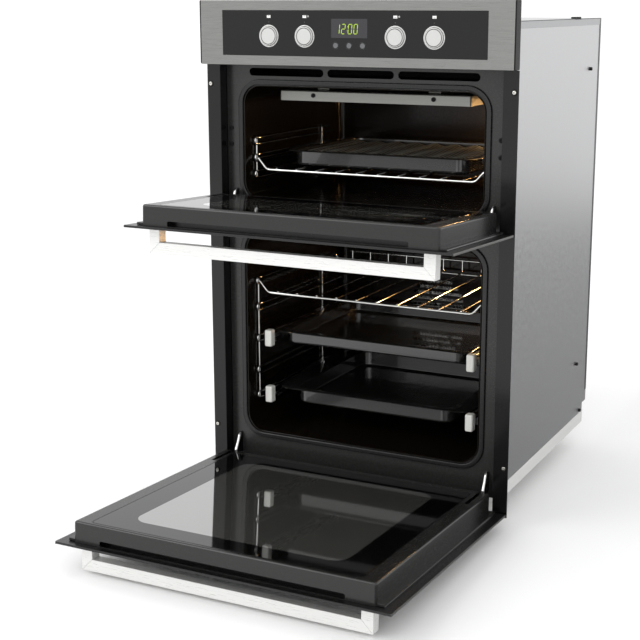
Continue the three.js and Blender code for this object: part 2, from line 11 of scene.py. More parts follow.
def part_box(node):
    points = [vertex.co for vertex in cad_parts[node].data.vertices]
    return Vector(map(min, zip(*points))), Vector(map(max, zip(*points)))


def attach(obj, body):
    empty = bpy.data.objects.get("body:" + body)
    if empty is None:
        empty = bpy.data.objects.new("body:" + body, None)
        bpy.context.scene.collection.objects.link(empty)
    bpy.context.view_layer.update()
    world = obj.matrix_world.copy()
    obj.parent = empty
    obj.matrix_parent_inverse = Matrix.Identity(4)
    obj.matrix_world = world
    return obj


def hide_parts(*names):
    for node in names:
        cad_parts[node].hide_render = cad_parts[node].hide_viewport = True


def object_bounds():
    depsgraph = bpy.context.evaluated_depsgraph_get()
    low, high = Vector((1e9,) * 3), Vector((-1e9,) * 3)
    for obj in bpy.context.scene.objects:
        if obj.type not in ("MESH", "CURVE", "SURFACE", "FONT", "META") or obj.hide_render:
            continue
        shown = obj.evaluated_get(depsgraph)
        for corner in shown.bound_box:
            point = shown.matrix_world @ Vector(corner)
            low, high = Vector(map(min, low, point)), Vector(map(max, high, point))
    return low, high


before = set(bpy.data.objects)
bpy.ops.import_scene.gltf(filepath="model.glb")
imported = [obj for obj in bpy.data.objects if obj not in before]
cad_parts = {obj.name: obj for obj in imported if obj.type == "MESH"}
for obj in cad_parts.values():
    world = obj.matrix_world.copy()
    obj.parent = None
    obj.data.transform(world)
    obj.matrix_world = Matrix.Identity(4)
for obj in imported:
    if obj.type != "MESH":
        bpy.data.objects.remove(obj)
cad_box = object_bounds()


# Camera. It stands ahead of the right-hand front corner, level with the control panel, and
# looks down and to the left through a long lens.
camera_place = (1.0010, -2.3555, 0.8580)
camera_turn = math.radians(26.24)
camera_tilt = math.radians(12.65)
camera_lens = 74.6
camera_shift = -0.03

bpy.ops.object.camera_add(
    location=camera_place, rotation=(math.pi / 2 - camera_tilt, 0, camera_turn))
camera = bpy.context.object
camera.data.lens = camera_lens
camera.data.shift_x = camera_shift
camera.data.shift_y = camera_shift
bpy.context.scene.camera = camera


# Stage. A white floor under the lowest handle and a white room, with a large soft lamp ahead on
# the left, one on the right for the side panel, and a low one that fills the open ovens.
def linear(code):
    """A colour written as sRGB hex, as the linear values that a shader takes."""
    parts = [int(code[i:i + 2], 16) / 255 for i in (1, 3, 5)]
    return [*(p / 12.92 if p <= 0.04045 else ((p + 0.055) / 1.055) ** 2.4 for p in parts), 1]


def put(material, kind, settings, sockets):
    """Adds a node to a material, sets it, and gives each named input its value or its link."""
    node = material.node_tree.nodes.new(kind)
    for name, value in settings.items():
        setattr(node, name, value)
    for name, value in sockets.items():
        if isinstance(value, bpy.types.NodeSocket):
            material.node_tree.links.new(value, node.inputs[name])
        else:
            node.inputs[name].default_value = value
    return node


def finish(name, dark, light, grain, gloss, bump=0.0, stretch=(1, 1, 1), detail=3, **shader):
    """A surface whose colour and roughness drift with one grain.

    grain is the size of the pattern in millimetres, gloss is its lowest and highest roughness,
    and bump is its height in millimetres. stretch squeezes the pattern along an axis."""
    made = bpy.data.materials.new(name)
    made.use_nodes = True
    made.node_tree.nodes.clear()
    place = put(made, "ShaderNodeTexCoord", {}, {})
    turned = put(made, "ShaderNodeMapping", {}, {
        "Vector": place.outputs["Object"], "Scale": stretch})
    noise = put(made, "ShaderNodeTexNoise", {}, {
        "Vector": turned.outputs["Vector"], "Scale": 1000 / grain, "Detail": detail})
    tone = put(made, "ShaderNodeMix", {"data_type": "RGBA"}, {
        "Factor": noise.outputs["Fac"], "A": linear(dark), "B": linear(light)})
    rough = put(made, "ShaderNodeMapRange", {}, {
        "Value": noise.outputs["Fac"], "From Min": 0.3, "From Max": 0.7,
        "To Min": gloss[0], "To Max": gloss[1]})
    sockets = {"Base Color": tone.outputs["Result"], "Roughness": rough.outputs["Result"]}
    if bump:
        relief = put(made, "ShaderNodeBump", {}, {
            "Height": noise.outputs["Fac"], "Distance": bump / 1000, "Strength": 1.0})
        sockets["Normal"] = relief.outputs["Normal"]
    sockets.update({key.replace("_", " "): value for key, value in shader.items()})
    surface = put(made, "ShaderNodeBsdfPrincipled", {}, sockets)
    put(made, "ShaderNodeOutputMaterial", {}, {"Surface": surface.outputs["BSDF"]})
    return made


floor_drop = 0.006
lamps = [
    # place in metres, size in metres, watts
    ((-2.4, -2.6, 3.0), 2.6, 60),
    ((3.4, 0.2, 2.4), 2.0, 4),
    ((0.4, -4.4, 1.5), 1.6, 10),
]
room_light = 1.12

bpy.ops.mesh.primitive_plane_add(size=30, location=(0, 0, cad_box[0].z - floor_drop))
floor = bpy.context.object
floor.name = "studio_floor"
floor.data.materials.append(finish("white_floor", "#f4f4f4", "#fafafa", 400, (0.8, 0.9)))
# A grey card lies on the floor behind the right-hand side. Only reflections see it: the bare
# metal side darkens towards its foot in it, as it would over a studio's floor.
bpy.ops.mesh.primitive_plane_add(size=1, location=(1.60, 0.9, cad_box[0].z))
card = bpy.context.object
card.scale = (2.6, 5.2, 1)
bpy.ops.object.transform_apply(location=False, rotation=False, scale=True)
card.name = "studio_card"
card.data.materials.append(finish("grey_card", "#868686", "#949494", 300, (0.8, 0.9)))
for kind in ("camera", "diffuse", "shadow", "transmission", "volume_scatter"):
    setattr(card, f"visible_{kind}", False)
bpy.context.scene.view_settings.view_transform = "Standard"
for place, size, watts in lamps:
    aim = Vector((0, -0.2, 0.42)) - Vector(place)
    bpy.ops.object.light_add(
        type="AREA", location=place, rotation=aim.to_track_quat("-Z", "Y").to_euler())
    bpy.context.object.data.size = size
    bpy.context.object.data.energy = watts
room = bpy.data.worlds.new("white_room")
bpy.context.scene.world = room
room.use_nodes = True
room.node_tree.nodes["Background"].inputs["Color"].default_value = (1, 1, 1, 1)
room.node_tree.nodes["Background"].inputs["Strength"].default_value = room_light


# Carcass. Side, top and back sheets of galvanised steel, pressed, screwed together and left
# unpainted, on a white painted base tray. The spangle of the zinc shows as soft grey flakes.
face_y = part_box("control_fascia")[0].y * 1000


def at(depth):
    """The y of a depth behind the front's outer face."""
    return face_y + depth


def corners(node):
    """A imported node's lowest and highest corners in millimetres."""
    low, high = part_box(node)
    return low * 1000, high * 1000


def leave_edit():
    """Goes back from the faces of a mesh to whole pieces."""
    bpy.ops.object.mode_set(mode="OBJECT")


def take(piece):
    """Leaves everything and selects one piece."""
    if bpy.context.mode != "OBJECT":
        leave_edit()
    bpy.ops.object.select_all(action="DESELECT")
    bpy.context.view_layer.objects.active = piece
    piece.select_set(True)


def named(name):
    """Puts a new primitive's place and size into its mesh and names it."""
    piece = bpy.context.object
    bpy.ops.object.transform_apply(location=True, rotation=True, scale=True)
    piece.name = name
    piece.data.name = name
    return piece


def block(name, low, high):
    """Adds a box between two corners."""
    bpy.ops.object.select_all(action="DESELECT")
    bpy.ops.mesh.primitive_cube_add(
        size=1,
        location=[(a + b) / 2000 for a, b in zip(low, high)],
        scale=[(b - a) / 1000 for a, b in zip(low, high)])
    return named(name)


def disc(name, middle, radius, length, axis="Y", sides=48):
    """Adds a cylinder round an axis, from its middle."""
    bpy.ops.object.select_all(action="DESELECT")
    turn = {"X": (0, math.pi / 2, 0), "Y": (math.pi / 2, 0, 0), "Z": (0, 0, 0)}[axis]
    bpy.ops.mesh.primitive_cylinder_add(
        vertices=sides, radius=radius / 1000, depth=length / 1000,
        location=[v / 1000 for v in middle], rotation=turn)
    return named(name)


def pick(piece, kind, test):
    """Selects, in edit mode, the edges or faces that pass a test of their middle and direction."""
    if bpy.context.mode != "EDIT_MESH":
        take(piece)
        bpy.ops.object.mode_set(mode="EDIT")
    bpy.ops.mesh.select_mode(type=kind)
    bpy.ops.mesh.select_all(action="DESELECT")
    mesh = bmesh.from_edit_mesh(piece.data)
    for item in mesh.faces if kind == "FACE" else mesh.edges:
        middle = sum((v.co for v in item.verts), Vector()) / len(item.verts) * 1000
        if kind == "FACE":
            way = item.normal
        else:
            way = (item.verts[1].co - item.verts[0].co).normalized()
        if test(middle, way):
            item.select_set(True)
    mesh.select_flush_mode()
    bmesh.update_edit_mesh(piece.data)


def bevel(width, steps):
    """Rounds the picked edges."""
    bpy.ops.mesh.bevel(offset=width / 1000, segments=steps, affect="EDGES", clamp_overlap=True)


def sink(*steps):
    """Insets the picked faces and raises them, one step after another."""
    for inward, rise in steps:
        bpy.ops.mesh.inset(thickness=inward / 1000, depth=rise / 1000)


def round_along(piece, axis, radius, steps):
    """Rounds the four corners of a block that run along one axis."""
    index = "XYZ".index(axis)
    pick(piece, "EDGE", lambda middle, way: abs(way[index]) > 0.99)
    bevel(radius, steps)


def open_side(piece, axis, sign):
    """Takes away a block's end face and leaves it hollow."""
    index = "XYZ".index(axis)
    pick(piece, "FACE", lambda middle, way: way[index] * sign > 0.99)
    bpy.ops.mesh.delete(type="FACE")


def apply(piece, kind, **settings):
    """Adds a modifier with its settings and applies it."""
    take(piece)
    modifier = piece.modifiers.new(kind.lower(), kind)
    for name, value in settings.items():
        setattr(modifier, name, value)
    bpy.ops.object.modifier_apply(modifier=modifier.name)


def thicken(piece, wall, outward=False):
    """Gives an open skin the thickness of its sheet."""
    apply(piece, "SOLIDIFY", thickness=wall / 1000, offset=1 if outward else -1,
          use_even_offset=True)


def soften(piece, width, steps=2, over=40):
    """Breaks the sharp edges of a piece, as pressing or tumbling does."""
    apply(piece, "BEVEL", width=width / 1000, segments=steps, limit_method="ANGLE",
          angle_limit=math.radians(over), use_clamp_overlap=True)


def cut(piece, *cutters):
    """Cuts blocks out of a piece and throws them away."""
    for cutter in cutters:
        apply(piece, "BOOLEAN", operation="DIFFERENCE", object=cutter, solver="EXACT")
        bpy.data.objects.remove(cutter)


def joined(name, pieces):
    """Makes one piece of several."""
    take(pieces[0])
    for piece in pieces:
        piece.select_set(True)
    if len(pieces) > 1:
        bpy.ops.object.join()
    pieces[0].name = name
    pieces[0].data.name = name
    return pieces[0]


def copied(piece, name, shift=(0, 0, 0)):
    """A copy with its own mesh, moved by some millimetres."""
    twin = piece.copy()
    twin.data = piece.data.copy()
    bpy.context.scene.collection.objects.link(twin)
    twin.data.transform(Matrix.Translation(Vector(shift) / 1000))
    twin.name = name
    twin.data.name = name
    return twin


def fit(piece, material, body, slot, *nodes, smooth=35):
    """Finishes a piece: its material, its shading and its body, and hides the imported nodes it
    stands for. slot is not used.
    """
    take(piece)
    if material:
        piece.data.materials.clear()
        piece.data.materials.append(material)
    bpy.ops.object.shade_smooth_by_angle(angle=math.radians(smooth))
    apply(piece, "WEIGHTED_NORMAL", keep_sharp=True)
    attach(piece, body)
    if nodes:
        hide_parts(*nodes)
    return piece


def refined(node, name, edge, steps=2):
    """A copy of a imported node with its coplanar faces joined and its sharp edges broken."""
    piece = copied(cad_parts[node], name)
    piece.parent = None
    for key in list(piece.keys()):
        del piece[key]
    take(piece)
    bpy.ops.object.mode_set(mode="EDIT")
    bpy.ops.mesh.select_all(action="SELECT")
    bpy.ops.mesh.remove_doubles(threshold=0.00002)
    bpy.ops.mesh.dissolve_limited(angle_limit=math.radians(1))
    leave_edit()
    if edge:
        soften(piece, edge, steps, 30)
    return piece


# Galvanised steel: metal with a pale zinc spangle about 9 mm across and a fine tooth.
galvanised = finish("galvanised_steel", "#bbbcbd", "#cfcfd0", 9, (0.3, 0.42), 0.006, detail=2,
                    Metallic=1.0)
# Bright zinc screw: small, shiny, hardly any pattern.
zinc = finish("zinc_plated_screw", "#b8b6b0", "#d8d6d0", 2, (0.18, 0.3), Metallic=1.0)
# Dark hole: painted shade for the unlit inside that a punched hole shows, and for the dark behind
# slots and plates. The same near-black is the real black oxide of screws and clips.
shadow = finish("black_oxide_steel_and_painted_shade", "#0a0a0a", "#161616", 3, (0.5, 0.7), Metallic=0.6)


def screws(name, places, radius, axis, sign):
    """Pan-head screws, each a turned head with a round socket, on one face of the carcass."""
    heads = []
    index = "XYZ".index(axis)
    for place in places:
        head = disc(name, place, radius, 1.8, axis, 20)
        pick(head, "FACE", lambda middle, way: way[index] * sign > 0.9)
        sink((radius * 0.25, radius * 0.1), (radius * 0.3, 0), (radius * 0.05, -0.9))
        leave_edit()
        heads.append(head)
    return joined(name, heads)


side_low, side_high = corners("side_panel_right")
side_half = side_high.x
sheet = 1.2
side_front = at(24.3)
stud_radius = 3.4
stud_out = 5
# Black nylon: moulded, dull, with a fine tooth.
nylon = finish("black_nylon", "#0d0d0d", "#171717", 1.5, (0.45, 0.6), 0.01, Specular_IOR_Level=0.3)
# The folded edges of the covers: the same zinc, dulled by the press. The folds are darker still:
# that is painted shade, standing in for the shading along their rolled edges.
dull_zinc = finish("worked_galvanised_steel", "#a9aaab", "#b9babb", 6, (0.34, 0.46), 0.01,
                   Metallic=1.0)
fold_shade_zinc = finish("galvanised_steel_painted_fold_shade", "#626364", "#767778", 4, (0.4, 0.5), 0.01,
                   Metallic=1.0)
step_deep = 24
step_high = 42
stud_places = ((216, 733), (200, 140), (235, 32))
carcass_back = side_high.y
for word, side in (("left", -1), ("right", 1)):
    outer_x = side * side_half
    spans = sorted((outer_x, outer_x - side * sheet))
    panel = block(f"side_sheet_{word}", (spans[0], side_front, side_low.z),
                  (spans[1], carcass_back, side_high.z))
    reach = (min(spans) - 5, max(spans) + 5)
    cut(panel, block("foot_step", (reach[0], carcass_back - step_deep, 0),
                     (reach[1], carcass_back + 5, step_high)))
    soften(panel, 0.25, 1)
    fit(panel, galvanised, "cabinet", "galvanised_steel", f"side_panel_{word}")
    # Black nylon studs clip into the sheet and keep it off the cupboard's wall.
    studs = []
    for y, z in stud_places:
        stud = disc("stud", (outer_x + side * stud_out / 2, y, z), stud_radius, stud_out, "X", 24)
        pick(stud, "FACE", lambda middle, way: way.x * side > 0.9)
        bpy.ops.mesh.bevel(offset=0.0015, segments=4, affect="EDGES")
        leave_edit()
        studs.append(stud)
    fit(joined(f"side_studs_{word}", studs), nylon, "cabinet", "galvanised_steel", smooth=50)
    # The top and back covers fold over the sheet's edges.
    skin = sorted((outer_x + side * 0.05, outer_x + side * 0.55))
    flange = block(f"top_flange_{word}", (skin[0], side_front + 2, side_high.z - 13),
                   (skin[1], carcass_back - 9.2, side_high.z - 1.6))
    soften(flange, 0.15, 1)
    fit(flange, dull_zinc, "cabinet", "galvanised_steel")
    # The top edge strip and the back flange take the painted fold shade.
    folds = [
        block("fold", (skin[0], side_front + 2, side_high.z - 1.4),
              (skin[1], carcass_back, side_high.z)),
        block("fold", (skin[0], carcass_back - 9, 66), (skin[1], carcass_back, side_high.z - 1.6))]
    for fold in folds:
        soften(fold, 0.15, 1)
    fit(joined(f"cover_folds_{word}", folds), fold_shade_zinc, "cabinet", "galvanised_steel")
    # The dark clip on the top edge locks the two covers together.
    clip_x = sorted((outer_x - side * 8, outer_x + side * 0.6))
    clip = block(f"cover_clip_{word}", (clip_x[0], 103, side_high.z - 2),
                 (clip_x[1], 141, side_high.z + 3.2))
    pick(clip, "FACE", lambda middle, way: way.z > 0.9)
    sink((1.8, 0), (0.2, -1.2))
    leave_edit()
    soften(clip, 0.8)
    fit(clip, shadow, "cabinet", "galvanised_steel")

for node, name, edge in (("top_cover", "top_sheet", 0.4), ("back_cover", "back_sheet", 0.4)):
    fit(refined(node, name, edge, 1), galvanised, "cabinet", "galvanised_steel", node)
back_screws = screws("back_screws", [
    (x, carcass_back + 0.9, z) for x in (-262, 0, 262) for z in (60, 440, 815)], 3.6, "Y", 1)
fit(back_screws, zinc, "cabinet", "galvanised_steel")

# White polyester paint: a satin coat with a faint orange peel about 2 mm across.
white_paint = finish("white_powder_coat", "#cbcbc9", "#d6d6d4", 2, (0.4, 0.5), 0.01)
base_low, base_high = corners("base_tray")
plinth = block("base_plinth", base_low, base_high)
open_side(plinth, "Z", 1)
thicken(plinth, sheet)
hinge_x = 252
cut(plinth, *[block("hook_slot", (x - 6, base_low.y - 1, 9.7), (x + 6, base_low.y + 3, 40))
              for x in (-hinge_x, hinge_x)])
skirts = []
for side in (-1, 1):
    spans = sorted((side * base_high.x, side * (base_high.x - sheet)))
    skirts.append(block("skirt", (spans[0], side_front, 0),
                        (spans[1], base_low.y - 0.1, base_high.z)))
plinth = joined("base_plinth", [plinth, *skirts])
soften(plinth, 0.6)
plinth.data.materials.append(white_paint)
plinth.data.materials.append(shadow)
for face in plinth.data.polygons:
    # The wall behind the front plate is black like the plate. Its black is painted shade: it stands
    # in for the shade behind the plate, seen through the hook slots.
    if face.normal.y < -0.9 and abs(face.center.y * 1000 - base_low.y) < 2:
        face.material_index = 1
fit(plinth, None, "cabinet", "painted_base", "base_tray")
# Moulded polyamide: off-white, dull, very slightly mottled.
polyamide = finish("terminal_polyamide", "#d9d6cc", "#e6e3da", 3, (0.5, 0.62), 0.005)
fit(refined("terminal_block", "mains_terminal", 0.6), polyamide, "cabinet", "terminal_plastic",
    "terminal_block")
fit(screws("terminal_screws", [(183 + x, carcass_back - 17, 640) for x in (-20, 0, 20)], 3, "Y", 1),
    zinc, "cabinet", "terminal_plastic")


# Front frame. One enamelled plate that carries both ovens, with cooling slots over the upper
# door and a glossy trim strip folded round each side. It is screwed to the carcass.
# Grey enamel: glossy, with the fine dark pepper of fired glass about 1 mm across.
grey_enamel = finish("grey_enamel", "#20201f", "#2b2b2a", 1.2, (0.2, 0.3), 0.004)
trim_paint = finish("black_gloss_paint", "#0a0a0a", "#100f0f", 3, (0.12, 0.2), 0.004,
                    Specular_IOR_Level=0.38)
fit(refined("front_frame", "front_plate", 0.5, 1), grey_enamel, "cabinet", "frame_enamel",
    "front_frame")
for word, side in (("left", -1), ("right", 1)):
    fit(refined(f"trim_strip_{word}", f"side_trim_{word}", 0.6), trim_paint, "cabinet",
        "frame_enamel", f"trim_strip_{word}")
# A black duct behind the plate's slots carries the cooling air over the upper oven. Its black is
# painted shade: it stands in for the dark inside behind the slots.
painted_shade_duct = block("cooling_duct_painted_shade", (-240, at(47.4), 725), (240, at(190), 749))
open_side(painted_shade_duct, "Y", -1)
thicken(painted_shade_duct, 1)
soften(painted_shade_duct, 0.4, 1)
fit(painted_shade_duct, shadow, "cabinet", "frame_enamel")
plate_y = corners("front_frame")[0].y
trim_y = corners("trim_strip_right")[0].y
fit(screws("plate_screws", [(side * 262, plate_y - 0.9, z) for side in (-1, 1) for z in (634, 605)],
           4.5, "Y", -1), shadow, "cabinet", "frame_enamel")
rings = [disc("ring", (side * 290, trim_y - 0.25, z), 5.4, 0.5, "Y", 28)
         for side in (-1, 1) for z in (715, 67)]
for ring_washer in rings:
    soften(ring_washer, 0.15, 1)
fit(joined("trim_washers", rings), shadow, "cabinet", "frame_enamel", smooth=40)
fit(screws("trim_screws", [(side * 290, trim_y - 0.9, z) for side in (-1, 1) for z in (715, 67)],
           3.2, "Y", -1), zinc, "cabinet", "frame_enamel")


# Control fascia. Brushed stainless steel folded into a shallow box, with a window for the glass
# and a ledge that runs back over the upper door.
# Brushed stainless steel: metal with hair lines drawn along its length, 0.4 mm apart.
stainless = finish("brushed_stainless", "#7f7f7d", "#90908e", 0.6, (0.26, 0.36), 0.0012,
                   stretch=(0.02, 1, 1), detail=2, Metallic=1.0)
fascia_low, fascia_high = corners("control_fascia")
glass_low, glass_high = corners("control_glass")
fascia_skin = 1.2
fascia_box = 22
end_cap = 2
fascia = block("fascia_shell", (fascia_low.x + end_cap, fascia_low.y, fascia_low.z),
               (fascia_high.x - end_cap, fascia_low.y + fascia_box, fascia_high.z))
open_side(fascia, "Y", 1)
pick(fascia, "EDGE", lambda middle, way: middle.y < fascia_low.y + fascia_box - 1)
bevel(1.6, 4)
thicken(fascia, fascia_skin)
window_gap = 0.3
cut(fascia, block("window", (glass_low.x - window_gap, fascia_low.y - 5, glass_low.z - window_gap),
                  (glass_high.x + window_gap, fascia_low.y + 5, glass_high.z + window_gap)))
ledge = block("ledge", (-266, at(19.5), fascia_low.z), (266, at(44.7), fascia_low.z + fascia_skin))
fascia = joined("fascia_shell", [fascia, ledge])
soften(fascia, 0.25, 1)
fit(fascia, stainless, "cabinet", "stainless", "control_fascia")
# End caps: black moulded plastic with a fine tooth, pushed into the fascia's open ends.
end_plastic = finish("black_moulded_plastic", "#060606", "#0d0d0d", 1.5, (0.4, 0.55), 0.01,
                     Specular_IOR_Level=0.25)
caps = []
for side in (-1, 1):
    reach = sorted((side * (fascia_high.x - end_cap + 0.2), side * fascia_high.x))
    cap = block("end_cap", (reach[0], fascia_low.y + 0.5, fascia_low.z + 0.5),
                (reach[1], fascia_low.y + fascia_box + 1, fascia_high.z - 0.5))
    round_along(cap, "X", 3, 4)
    leave_edit()
    soften(cap, 0.3, 1)
    caps.append(cap)
fit(joined("fascia_end_caps", caps), end_plastic, "cabinet", "stainless", smooth=40)


# Rear cover. A bent black sheet closes the fascia behind the circuit board.
rear_wall = block("rear_wall", (-290, at(43.2), 830.2), (290, at(44.2), 858))
rear_lip = block("rear_lip", (-290, at(fascia_box + 1.5), 857), (290, at(43), 858))
for sheet_part in (rear_wall, rear_lip):
    soften(sheet_part, 0.25, 1)
fit(joined("fascia_rear_cover", [rear_wall, rear_lip]), shadow, "cabinet", "stainless")


# Control glass. Toughened glass printed black on its back, drilled for the knobs and buttons.
# Each knob hole has a satin ring, and a white mark over it says what the knob is for.
# Black printed glass: a deep black under a smooth, barely marked gloss.
black_glass = finish("black_printed_glass", "#050505", "#080808", 60, (0.08, 0.16),
                     Specular_IOR_Level=0.4)
fit(refined("control_glass", "panel_glass", 0.3), black_glass, "cabinet", "black_glass",
    "control_glass")
# Circuit board: green solder mask with the mottle of its glass cloth.
board_green = finish("solder_mask", "#23482f", "#2f6340", 2.5, (0.45, 0.6), 0.01)
fit(refined("control_board", "switch_board", 0.3, 1), board_green, "cabinet", "circuit_board",
    "control_board")

knob_z = 802
knob_places = {"top_function": -156, "top_heat": -85.6, "main_heat": 85.6, "main_function": 156}
button_places = {"minus": -25.5, "set": 0, "plus": 25.5}
button_z = 787
glass_y = glass_low.y


def rounded(points, radius, steps=6):
    """The points of a path that turns each of its inner corners on a curve."""
    result = [Vector(points[0])]
    for before, corner, after in zip(points, points[1:], points[2:]):
        before, corner, after = Vector(before), Vector(corner), Vector(after)
        inward = before - corner
        outward = after - corner
        reach = min(radius, inward.length * 0.49, outward.length * 0.49)
        start = corner + inward.normalized() * reach
        end = corner + outward.normalized() * reach
        for i in range(steps + 1):
            t = i / steps
            result.append(start * (1 - t) ** 2 + corner * 2 * t * (1 - t) + end * t * t)
    return [*result, Vector(points[-1])]


def wires(name, runs, thickness, bend=0, closed=False, rings=2):
    """Round wires along paths, welded into one piece. thickness is a wire's diameter."""
    curve = bpy.data.curves.new(name, "CURVE")
    curve.dimensions = "3D"
    curve.bevel_depth = thickness / 2000
    curve.bevel_resolution = rings
    curve.use_fill_caps = True
    for run in runs:
        points = rounded(run, bend) if bend else [Vector(p) for p in run]
        spline = curve.splines.new("POLY")
        spline.points.add(len(points) - 1)
        for point, place in zip(spline.points, points):
            point.co = (*(place / 1000), 1)
        spline.use_cyclic_u = closed
    bpy.ops.object.select_all(action="DESELECT")
    piece = bpy.data.objects.new(name, curve)
    bpy.context.scene.collection.objects.link(piece)
    take(piece)
    bpy.ops.object.convert(target="MESH")
    piece = bpy.context.object
    bpy.ops.object.mode_set(mode="EDIT")
    bpy.ops.mesh.select_all(action="SELECT")
    bpy.ops.mesh.remove_doubles(threshold=0.000005)
    bpy.ops.mesh.normals_make_consistent(inside=False)
    leave_edit()
    piece.name = name
    return piece


def ring(name, middle, radius, wire, flatten=1.0):
    """A ring round the depth axis, with a round section pressed flat."""
    bpy.ops.object.select_all(action="DESELECT")
    bpy.ops.mesh.primitive_torus_add(
        major_radius=radius / 1000, minor_radius=wire / 2000, major_segments=56, minor_segments=12,
        location=[v / 1000 for v in middle], rotation=(math.pi / 2, 0, 0))
    piece = bpy.context.object
    piece.scale = (1, 1, flatten)
    return named(name)


# Satin plating on plastic: almost white, smooth, with a soft highlight.
satin_ring = finish("satin_bezel_plating", "#c6c6c4", "#d2d2d0", 4, (0.25, 0.35), Metallic=0.35)
bezels = joined("knob_bezels", [
    ring("bezel", (x, glass_y - 0.1, knob_z), 18.1, 2.2, 0.5) for x in knob_places.values()])
fit(bezels, satin_ring, "cabinet", "stainless", smooth=60)
smoked_ring = finish("smoked_ring", "#1c1c1c", "#262626", 3, (0.2, 0.3))
button_rings = joined("button_rings", [
    ring("bezel", (x, glass_y - 0.05, button_z), 5.9, 0.9, 0.5) for x in button_places.values()])
fit(button_rings, smoked_ring, "cabinet", "black_glass", smooth=60)

# Screen print: matt white ink, a tenth of a millimetre thick.
white_ink = finish("white_screen_ink", "#dededc", "#f2f2f0", 1, (0.55, 0.7))
mark_y = (glass_y - 0.09, glass_y - 0.01)
mark_z = 835.3
marks = []
for kind, x in knob_places.items():
    # A filled oblong stands for an oven; a clear bar in it says upper or lower.
    bar_z = mark_z + (1.1 if kind.startswith("top") else -1.1)
    oblong = block("mark", (x - 3.6, mark_y[0], mark_z - 2.3), (x + 3.6, mark_y[1], mark_z + 2.3))
    cut(oblong, block("bar", (x - 2.2, mark_y[0] - 1, bar_z - 0.35),
                      (x + 2.2, mark_y[1] + 1, bar_z + 0.35)))
    marks.append(oblong)
    if kind.endswith("heat"):
        marks.append(ring("mark", (x + 7, glass_y - 0.03, mark_z + 0.6), 1.2, 0.5, 0.2))
mark_set = joined("panel_marks", marks)
fit(mark_set, white_ink, "cabinet", "black_glass")
dots = [disc("dot", (x, glass_y - 0.04, 826), 0.55, 0.1, "Y", 14) for x in knob_places.values()]
for dot in dots:
    soften(dot, 0.02, 1)
grey_ink = finish("grey_screen_ink", "#6d6d6c", "#7c7c7b", 1, (0.55, 0.7))
fit(joined("zero_dots", dots), grey_ink, "cabinet", "black_glass")

# Display. A smoked window with a clock of four lit figures of seven bars each.
smoked = finish("smoked_window", "#2b2b2f", "#333337", 30, (0.05, 0.09))
window = block("display_window", (-34, glass_y - 0.15, 800), (34, glass_y + 0.3, 832))
round_along(window, "Y", 1.2, 3)
leave_edit()
soften(window, 0.08, 1)
fit(window, smoked, "cabinet", "black_glass")

figure_bars = {"0": "abcdef", "1": "bc", "2": "abdeg"}
figure_start = -24.6
figure_pitch = 10.6
colon_gap = 2
figure_wide = 6.4
figure_high = 16
bar = 1.1


def figure(name, x, z, bars):
    """One seven-bar figure, from its lower left corner."""
    half = figure_high / 2
    spans = {
        "a": (0, figure_high, 1), "g": (0, half, 1), "d": (0, 0, 1),
        "f": (0, half, 0), "b": (figure_wide, half, 0), "e": (0, 0, 0), "c": (figure_wide, 0, 0),
    }
    parts = []
    for letter in bars:
        u, v, level = spans[letter]
        if level:
            low, high = (x + u + 0.5, z + v - bar / 2), (x + u + figure_wide - 0.5, z + v + bar / 2)
        else:
            low, high = (x + u - bar / 2, z + v + 0.5), (x + u + bar / 2, z + v + half - 0.5)
        part = block(name, (low[0], glass_y - 0.25, low[1]), (high[0], glass_y - 0.12, high[1]))
        round_along(part, "Y", bar * 0.45, 1)
        leave_edit()
        parts.append(part)
    return parts


lit = finish("lit_clock_figures", "#8fae22", "#aecb36", 3, (0.4, 0.5),
             Emission_Color=linear("#b5d334"), Emission_Strength=0.45)
lit_bars = []
for index, number in enumerate("1200"):
    figure_x = figure_start + index * figure_pitch + (colon_gap if index > 1 else 0)
    lit_bars += figure("bar", figure_x, 807, figure_bars[number])
for dot_z in (812, 819):
    dot = disc("dot", (-3.1, glass_y - 0.2, dot_z), 0.6, 0.14, "Y", 12)
    pick(dot, "EDGE", lambda middle, way: abs(way.y) < 0.1)
    bevel(0.03, 1)
    leave_edit()
    lit_bars.append(dot)
clock = joined("clock_figures", lit_bars)
for vertex in clock.data.vertices:
    # The figures lean a little to the right.
    vertex.co.x += (vertex.co.z - 0.8155) * 0.09
fit(clock, lit, "cabinet", "black_glass")


# Knobs and buttons. Moulded plastic caps with a bright lacquer; a knob pops out on its spindle
# through the ring round its hole. One is turned and the rest are copies.
# Lacquered plastic: pale silver with a fine metal fleck.
knob_lacquer = finish("silver_lacquer", "#bfbfbd", "#cdcdcb", 1.2, (0.28, 0.38), Metallic=0.3)
# The groove's dark grey is painted shade: it stands in for the shade inside the narrow turned
# groove.
painted_groove_shade = finish("lacquer_painted_groove_shade", "#3a3a3a", "#484848", 1.2, (0.45, 0.55))
pointer_paint = finish("grey_pointer_paint", "#8b8b8b", "#9a9a9a", 2, (0.4, 0.5))
spindle_steel = finish("turned_steel", "#8f8f8d", "#a9a9a7", 1.5, (0.25, 0.4), Metallic=1.0)
knob_low, knob_high = corners("top_function_knob")
knob_radius = (knob_high.x - knob_low.x) / 2
first_knob = disc("knob", (0, (knob_low.y + knob_high.y) / 2, knob_z), knob_radius,
                  knob_high.y - knob_low.y, "Y", 56)
pick(first_knob, "FACE", lambda middle, way: way.y < -0.9)
bpy.ops.mesh.bevel(offset=0.0012, segments=4, affect="EDGES")
pick(first_knob, "FACE", lambda middle, way: way.y < -0.99)
# A turned groove parts the rim from the face, which is slightly domed.
sink((0.4, 0), (0.3, -0.7), (0.7, 0), (0.3, 0.7), (5, 0.2))
pick(first_knob, "FACE", lambda middle, way: way.y > 0.99)
sink((2.2, 0), (0.1, -15))
leave_edit()
first_knob.data.materials.append(knob_lacquer)
first_knob.data.materials.append(painted_groove_shade)
